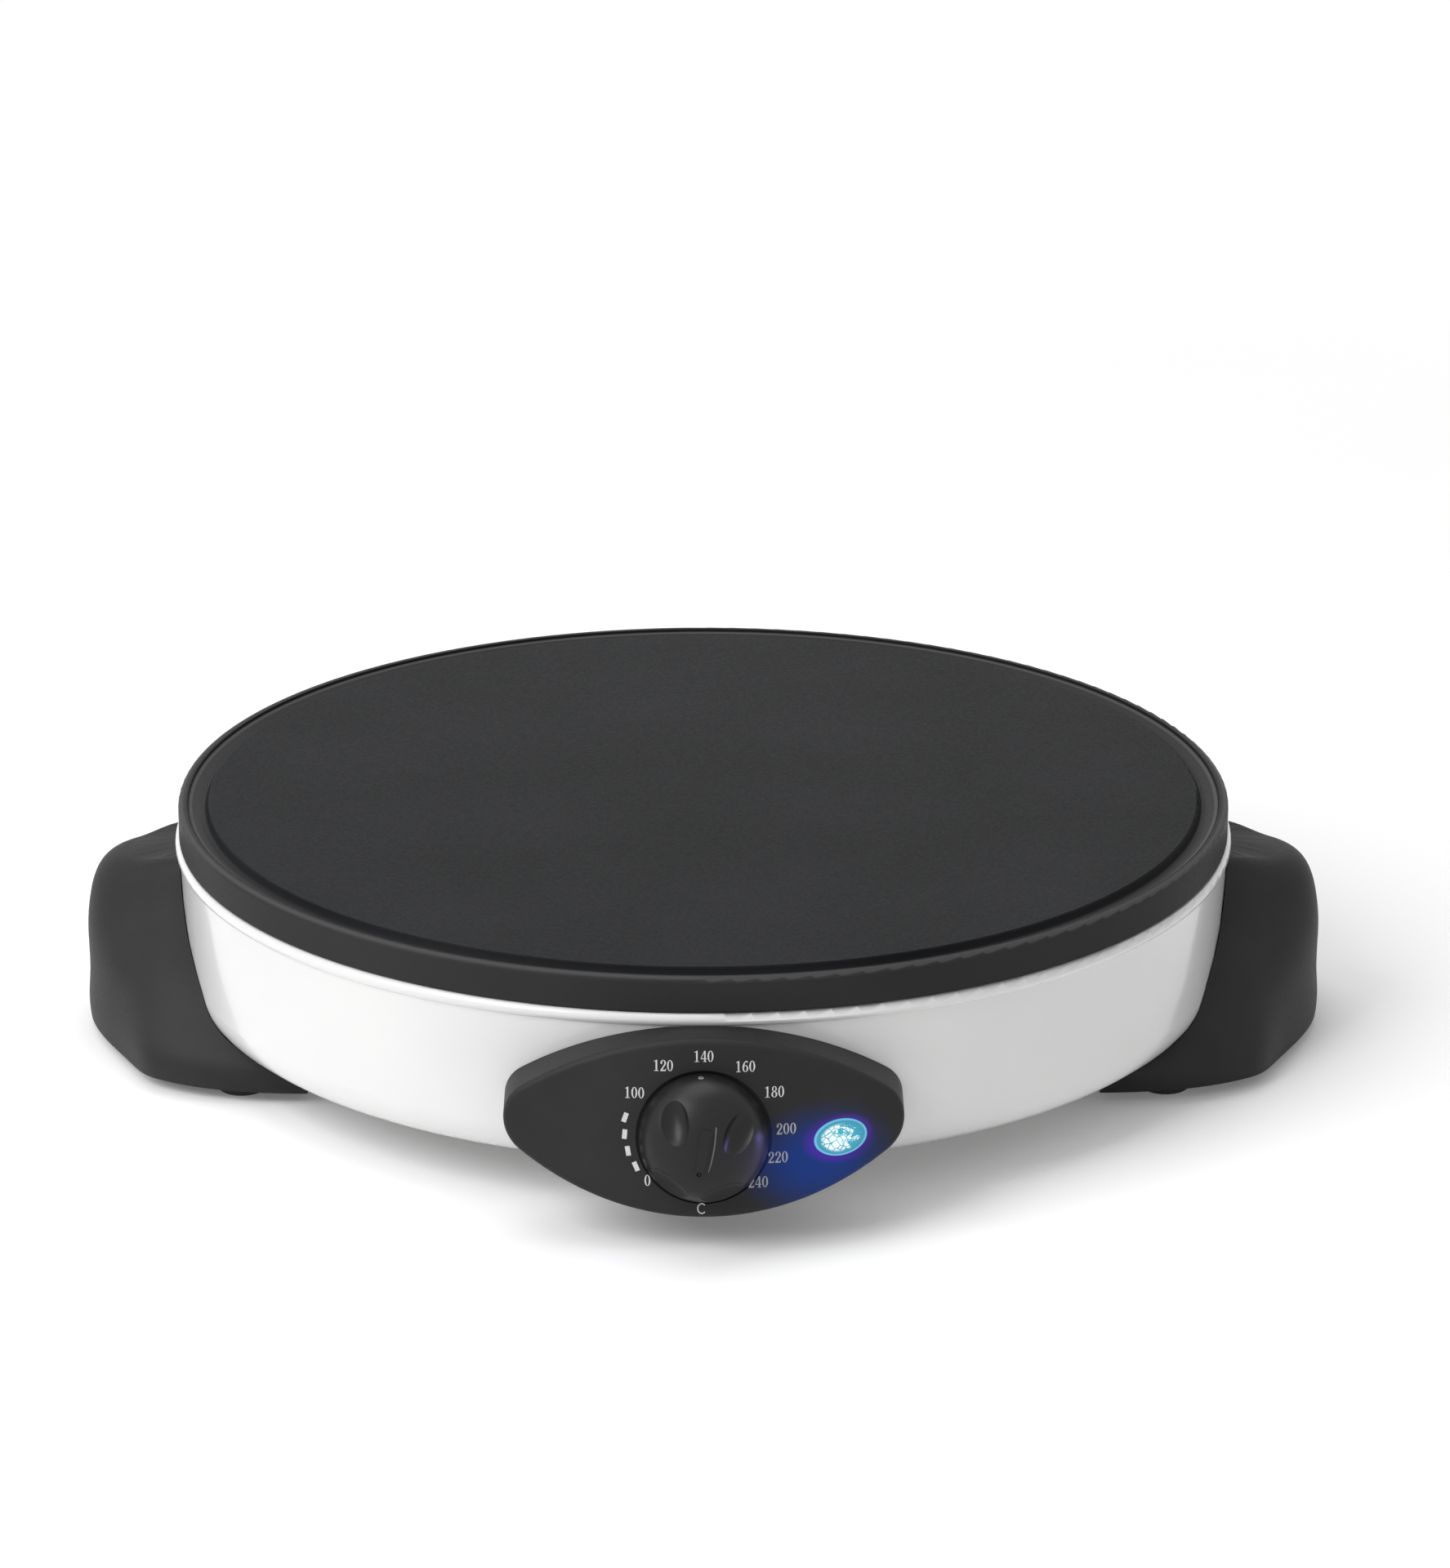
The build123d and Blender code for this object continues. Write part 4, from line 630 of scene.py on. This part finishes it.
NUMBERS = (                 # number, angle and radius on the dial
    ("0", 128.5, 20.95), ("100", 57.4, 23.9), ("120", 29.0, 24.2),
    ("140", 0.0, 24.0), ("160", -30.1, 24.1), ("180", -57.5, 24.3),
    ("200", -85.3, 24.05), ("220", -106.5, 22.5), ("240", -130.5, 20.8),
)
DIM_NUMBERS = ("200", "220", "240")
for label, angle, radius in NUMBERS:
    ink = INK_DIM if label in DIM_NUMBERS else INK
    dial_mark("number_" + label, lettering(label), dial_place(angle, radius), ink)

DASHES = ((114.5, 21.7), (101.5, 22.5), (88.9, 23.0), (76.7, 23.5))   # angle and radius
DASH_HALF = (0.70, 1.42)
DASH_SWING = 1.15           # a dash turns this much faster than its place on the dial
DASH_LEAN = -4.0            # degrees, where its place is level with the knob's centre
dash_points, dash_faces = blot(*rectangle(*DASH_HALF))
dash = (dash_points, dash_faces, [PRINT_RISE] * len(dash_points))
for index, (angle, radius) in enumerate(DASHES):
    turn = math.radians((angle - 90.0) * DASH_SWING + DASH_LEAN)
    dial_mark(f"dash_{index}", dash, dial_place(angle, radius), INK, turn)

UNIT_AT = (-0.6, -21.15)
dial_mark("unit_mark", lettering("C"), UNIT_AT, INK)

# ------------------------------------------------------------------ handles

CORNER_FROM, CORNER_FULL = 169.6, 195.0   # reach from the middle over which a corner's pull grows
PULL_LENGTH = 62.0          # from the plate's axis to where a corner's pull is full
FRONT_PULL, REAR_PULL = 13.2, 3.5
NOSE = 0.2                  # rounds the front pull off where it starts
FLARE_FROM, FLARE_END = 8.0, 48.0   # heights over which the front pull falls
FLARE_FALL = 0.5            # the share of it that is gone at the upper height
TOP_DROP = 2.6              # how far the top comes down, at HANDLE_TOP and beyond DROP_FULL
HANDLE_TOP = 60.0
DROP_FROM, DROP_FULL = 166.0, 180.0


def ramp(value, low, high):
    """From nought at low to one at high, flat beyond."""
    return min(1.0, max(0.0, (value - low) / (high - low)))


def eased(value, low, high):
    """A ramp with soft ends."""
    t = ramp(value, low, high)
    return t * t * (3.0 - 2.0 * t)


def handle_point(point):
    """Where a point of the CAD handle goes: outer corners rounder in plan, top a little lower."""
    x, y, z = point
    reach, along = abs(x), y - SHIFT_Y
    front = math.hypot(ramp(-along, 0.0, PULL_LENGTH), NOSE) - NOSE
    front *= 1.0 - FLARE_FALL * eased(z, FLARE_FROM, FLARE_END)
    rear = ramp(along, 0.0, PULL_LENGTH) ** 2
    pull = eased(reach, CORNER_FROM, CORNER_FULL) * (FRONT_PULL * front + REAR_PULL * rear)
    fall = TOP_DROP * ramp(z, 0.0, HANDLE_TOP) * eased(reach, DROP_FROM, DROP_FULL)
    return Vector((math.copysign(reach - pull, x), y, z - fall))


for node_name in ("left_handle", "right_handle"):
    skin = frame["nodes"][node_name].data.copy()
    skin.name = node_name + "_skin"
    for vertex in skin.vertices:
        vertex.co = handle_point(vertex.co / MM) * MM
    skin.materials.clear()
    skin.materials.append(MATERIALS["charcoal_plastic"].mat)
    shell = show(skin.name, skin)
    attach(shell, "cooker")
    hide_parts(node_name)

# ------------------------------------------------------------------ knob ridge's painted highlight and tick

knob_mesh = frame["nodes"]["temperature_knob"].data
KNOB_SKIN = BVHTree.FromPolygons([v.co for v in knob_mesh.vertices],
                                 [p.vertices for p in knob_mesh.polygons])
CLEAR_OF_KNOB = 40.0        # rays onto the knob's skin start this far out

RIDGE_EDGE = (              # right, up and half width along the ridge's lit edge, where a lighter strip paints its highlight
    (3.62, 6.1, 0.10), (3.60, 5.7, 0.24), (3.50, 4.4, 0.27), (3.28, 2.0, 0.27), (2.95, -0.4, 0.26),
    (2.55, -2.6, 0.25), (2.05, -4.8, 0.23), (1.45, -6.8, 0.18), (1.30, -7.3, 0.06),
)
RIDGE_RISE, RIDGE_SINK = 0.22, 0.02
RIDGE_POINTS = 7            # across the edge
TICK_MARK = (               # right, up and half height of the white tick at the knob's top
    (-1.5, 18.40, 0.02), (-1.4, 18.40, 0.15), (-0.8, 18.44, 0.17),
    (-0.2, 18.44, 0.15), (-0.1, 18.44, 0.02),
)
TICK_RISE = 0.04


def on_knob(u, v, rise):
    """Point of the knob's skin at a dial place, from the knob's centre, lifted along its axis."""
    start = KNOB_AT + Vector((u, 0, 0)) + KNOB_UP * v + KNOB_OUT * CLEAR_OF_KNOB
    hit = KNOB_SKIN.ray_cast(start * MM, -KNOB_OUT)[0]
    return hit / MM + KNOB_OUT * rise


def strip_faces(rows, across):
    """Quads of a strip of points that has this many rows, and this many points across."""
    corners = (0, 1, across + 1, across)
    cells = [(row, k) for row in range(rows - 1) for k in range(across - 1)]
    return [tuple(row * across + k + corner for corner in corners) for row, k in cells]


def ridge_highlight():
    """Low rounded lighter strip along the edge of the knob's ridge: a painted highlight."""
    verts = []
    for u, v, half in RIDGE_EDGE:
        for k in range(RIDGE_POINTS):
            t = 2.0 * k / (RIDGE_POINTS - 1) - 1.0
            rise = RIDGE_RISE * math.sqrt(max(0.0, 1.0 - t * t)) - RIDGE_SINK
            verts.append(on_knob(u + t * half, v, rise))
    faces = strip_faces(len(RIDGE_EDGE), RIDGE_POINTS)
    obj = add_piece("ridge_highlight", verts, faces, RIDGE_HIGHLIGHT_PAINT, "knob")
    for face in obj.data.polygons:
        face.use_smooth = True


def knob_tick():
    """Small white mark at the knob's top."""
    verts = []
    for u, v, half in TICK_MARK:
        verts += [on_knob(u, v - half, TICK_RISE), on_knob(u, v + half, TICK_RISE)]
    faces = strip_faces(len(TICK_MARK), 2)
    add_piece("knob_tick", verts, faces, TICK_INK, "knob")


ridge_highlight()
knob_tick()

# ------------------------------------------------------------------ floor and world, in metres

FLOOR_CLEAR = 0.42          # from the origin to where the floor starts to fade out
FLOOR_END = 1.0
FLOOR_HALF = 1.2
FLOOR_TONES = ((0.935, 0.935, 0.935), (0.94, 0.94, 0.94))
FLOOR_LIFT = 0.125          # added for camera, glossy and transmission rays alone
WORLD_LEVEL = 0.44          # what the world lights the object with; those rays see it at 1


def seeing_rays(tree):
    """One for camera, glossy and transmission rays."""
    path = tree.nodes.new("ShaderNodeLightPath")
    seen = path.outputs["Is Camera Ray"]
    for ray in ("Is Glossy Ray", "Is Transmission Ray"):
        either = tree.nodes.new("ShaderNodeMath")
        either.operation = "MAXIMUM"
        tree.links.new(seen, either.inputs[0])
        tree.links.new(path.outputs[ray], either.inputs[1])
        seen = either.outputs[0]
    return seen


def floor_material():
    """White floor, lifted a little for seeing rays, that fades out into the world's white."""
    m = Mat("floor_white")
    m.colour(m.blend(m.noise(size=400.0), *FLOOR_TONES))
    m.put(Roughness=1.0, Specular_IOR_Level=0.0)
    m.emit((1.0, 1.0, 1.0), m.times(seeing_rays(m.tree), FLOOR_LIFT))
    away = m.add("ShaderNodeVectorMath", operation="LENGTH")
    m.link(m.where, away.inputs[0])
    clear = m.add("ShaderNodeBsdfTransparent")
    mix = m.add("ShaderNodeMixShader")
    m.link(m.span(away.outputs["Value"], FLOOR_CLEAR, FLOOR_END, smooth=True), mix.inputs[0])
    m.link(m.bsdf.outputs[0], mix.inputs[1])
    m.link(clear.outputs[0], mix.inputs[2])
    m.link(mix.outputs[0], m.out.inputs["Surface"])
    return m


def floor():
    """A square on the table's level, which is no part of the object."""
    corners, faces = blot(*((x, y, 0) for x, y in rectangle(FLOOR_HALF, FLOOR_HALF)))
    mesh = bpy.data.meshes.new("floor")
    mesh.from_pydata(corners, [], faces)
    mesh.materials.append(floor_material().mat)
    show("floor", mesh)


def world():
    """Plain white surroundings: WORLD_LEVEL as light, and 1 to the rays that see them."""
    studio = bpy.data.worlds.new("studio")
    bpy.context.scene.world = studio
    studio.use_nodes = True
    tree = studio.node_tree
    tree.nodes.clear()
    out = tree.nodes.new("ShaderNodeOutputWorld")
    back = tree.nodes.new("ShaderNodeBackground")
    back.inputs["Color"].default_value = (1, 1, 1, 1)
    level = tree.nodes.new("ShaderNodeMapRange")
    level.inputs["To Min"].default_value = WORLD_LEVEL
    level.inputs["To Max"].default_value = 1.0
    tree.links.new(seeing_rays(tree), level.inputs["Value"])
    tree.links.new(level.outputs["Result"], back.inputs["Strength"])
    tree.links.new(back.outputs[0], out.inputs["Surface"])


# ------------------------------------------------------------------ lamps, in metres and watts

KEY_AT, KEY_AIM, KEY_SIZE, KEY_POWER = (-1.70, -1.1, 1.85), (0, 0, 0.03), (1.7, 1.7), 43.5
TOP_AT, TOP_AIM, TOP_SIZE, TOP_POWER = (-0.3, 0.3, 2.6), (0, 0, 0), (2.2, 1.6), 22.0
SPILL_POWER = 0.12
SPILL_COLOUR = (0.28, 0.22, 1.0)
SPILL_CONE = math.radians(36.0)
SPILL_BLEND = 0.9           # share of the cone that its soft edge takes
SPILL_OFF_LENS = 8.5        # mm from the lens out to the small blue lamp
SPILL_SOURCE = 4.0          # mm, the blue lamp's radius
KNOB_FLANK = (15.0, -7.0, 7.0)   # mm right, up and out from KNOB_AT to where it shines


def aim(obj, place, target):
    obj.location = place
    obj.rotation_euler = (Vector(target) - Vector(place)).to_track_quat("-Z", "Y").to_euler()


def softbox(name, place, target, size, power):
    lamp = bpy.data.lights.new(name, "AREA")
    lamp.shape = "RECTANGLE"
    lamp.size, lamp.size_y = size
    lamp.energy = power
    aim(show(name, lamp), place, target)


def lens_spill():
    """The lens's blue light on the flank of the knob."""
    lamp = bpy.data.lights.new("lens_spill", "SPOT")
    lamp.energy = SPILL_POWER
    lamp.color = SPILL_COLOUR
    lamp.spot_size = SPILL_CONE
    lamp.spot_blend = SPILL_BLEND
    lamp.shadow_soft_size = SPILL_SOURCE * MM
    right, up, out = KNOB_FLANK
    flank = KNOB_AT + Vector((right, 0, 0)) + KNOB_UP * up + KNOB_OUT * out
    aim(show("lens_spill", lamp), (LENS_AT + LENS_NORMAL * SPILL_OFF_LENS) * MM, flank * MM)


floor()
world()
softbox("key", KEY_AT, KEY_AIM, KEY_SIZE, KEY_POWER)
softbox("top", TOP_AT, TOP_AIM, TOP_SIZE, TOP_POWER)
lens_spill()

# ------------------------------------------------------------------ camera

FRAME_TALL = 1920.0         # pixels of the photograph's longer side
FOCAL = 7770.0              # focal length in those pixels
SENSOR = 36.0
SIGHT_LEVEL, SIGHT_FALL = 0.9423, 0.3347   # cosine and sine of how steeply it looks at the plate
CAMERA_AWAY = 2000.0        # from the middle of the plate's top
PLATE_LEFT, PLATE_BELOW = 26.5, 6.1        # pixels from the frame's middle to the plate's
CLIP_END = 60.0             # metres


def camera():
    """The photograph's view, fitted to the plate's ellipse."""
    data = bpy.data.cameras.new("camera")
    data.sensor_fit = "AUTO"
    data.sensor_width = SENSOR
    data.lens = FOCAL * SENSOR / FRAME_TALL
    data.clip_end = CLIP_END
    obj = show("camera", data)
    back, height = SHIFT_Y - CAMERA_AWAY * SIGHT_LEVEL, CREST + CAMERA_AWAY * SIGHT_FALL
    obj.location = (0.0, back * MM, height * MM)
    pitch = math.atan2(SIGHT_FALL, SIGHT_LEVEL) - math.atan2(PLATE_BELOW, FOCAL)
    yaw = -math.atan2(PLATE_LEFT, FOCAL * SIGHT_LEVEL)
    obj.rotation_euler = (math.pi / 2 - pitch, 0.0, yaw)
    bpy.context.scene.camera = obj


camera()
bpy.context.scene.view_settings.view_transform = "Standard"
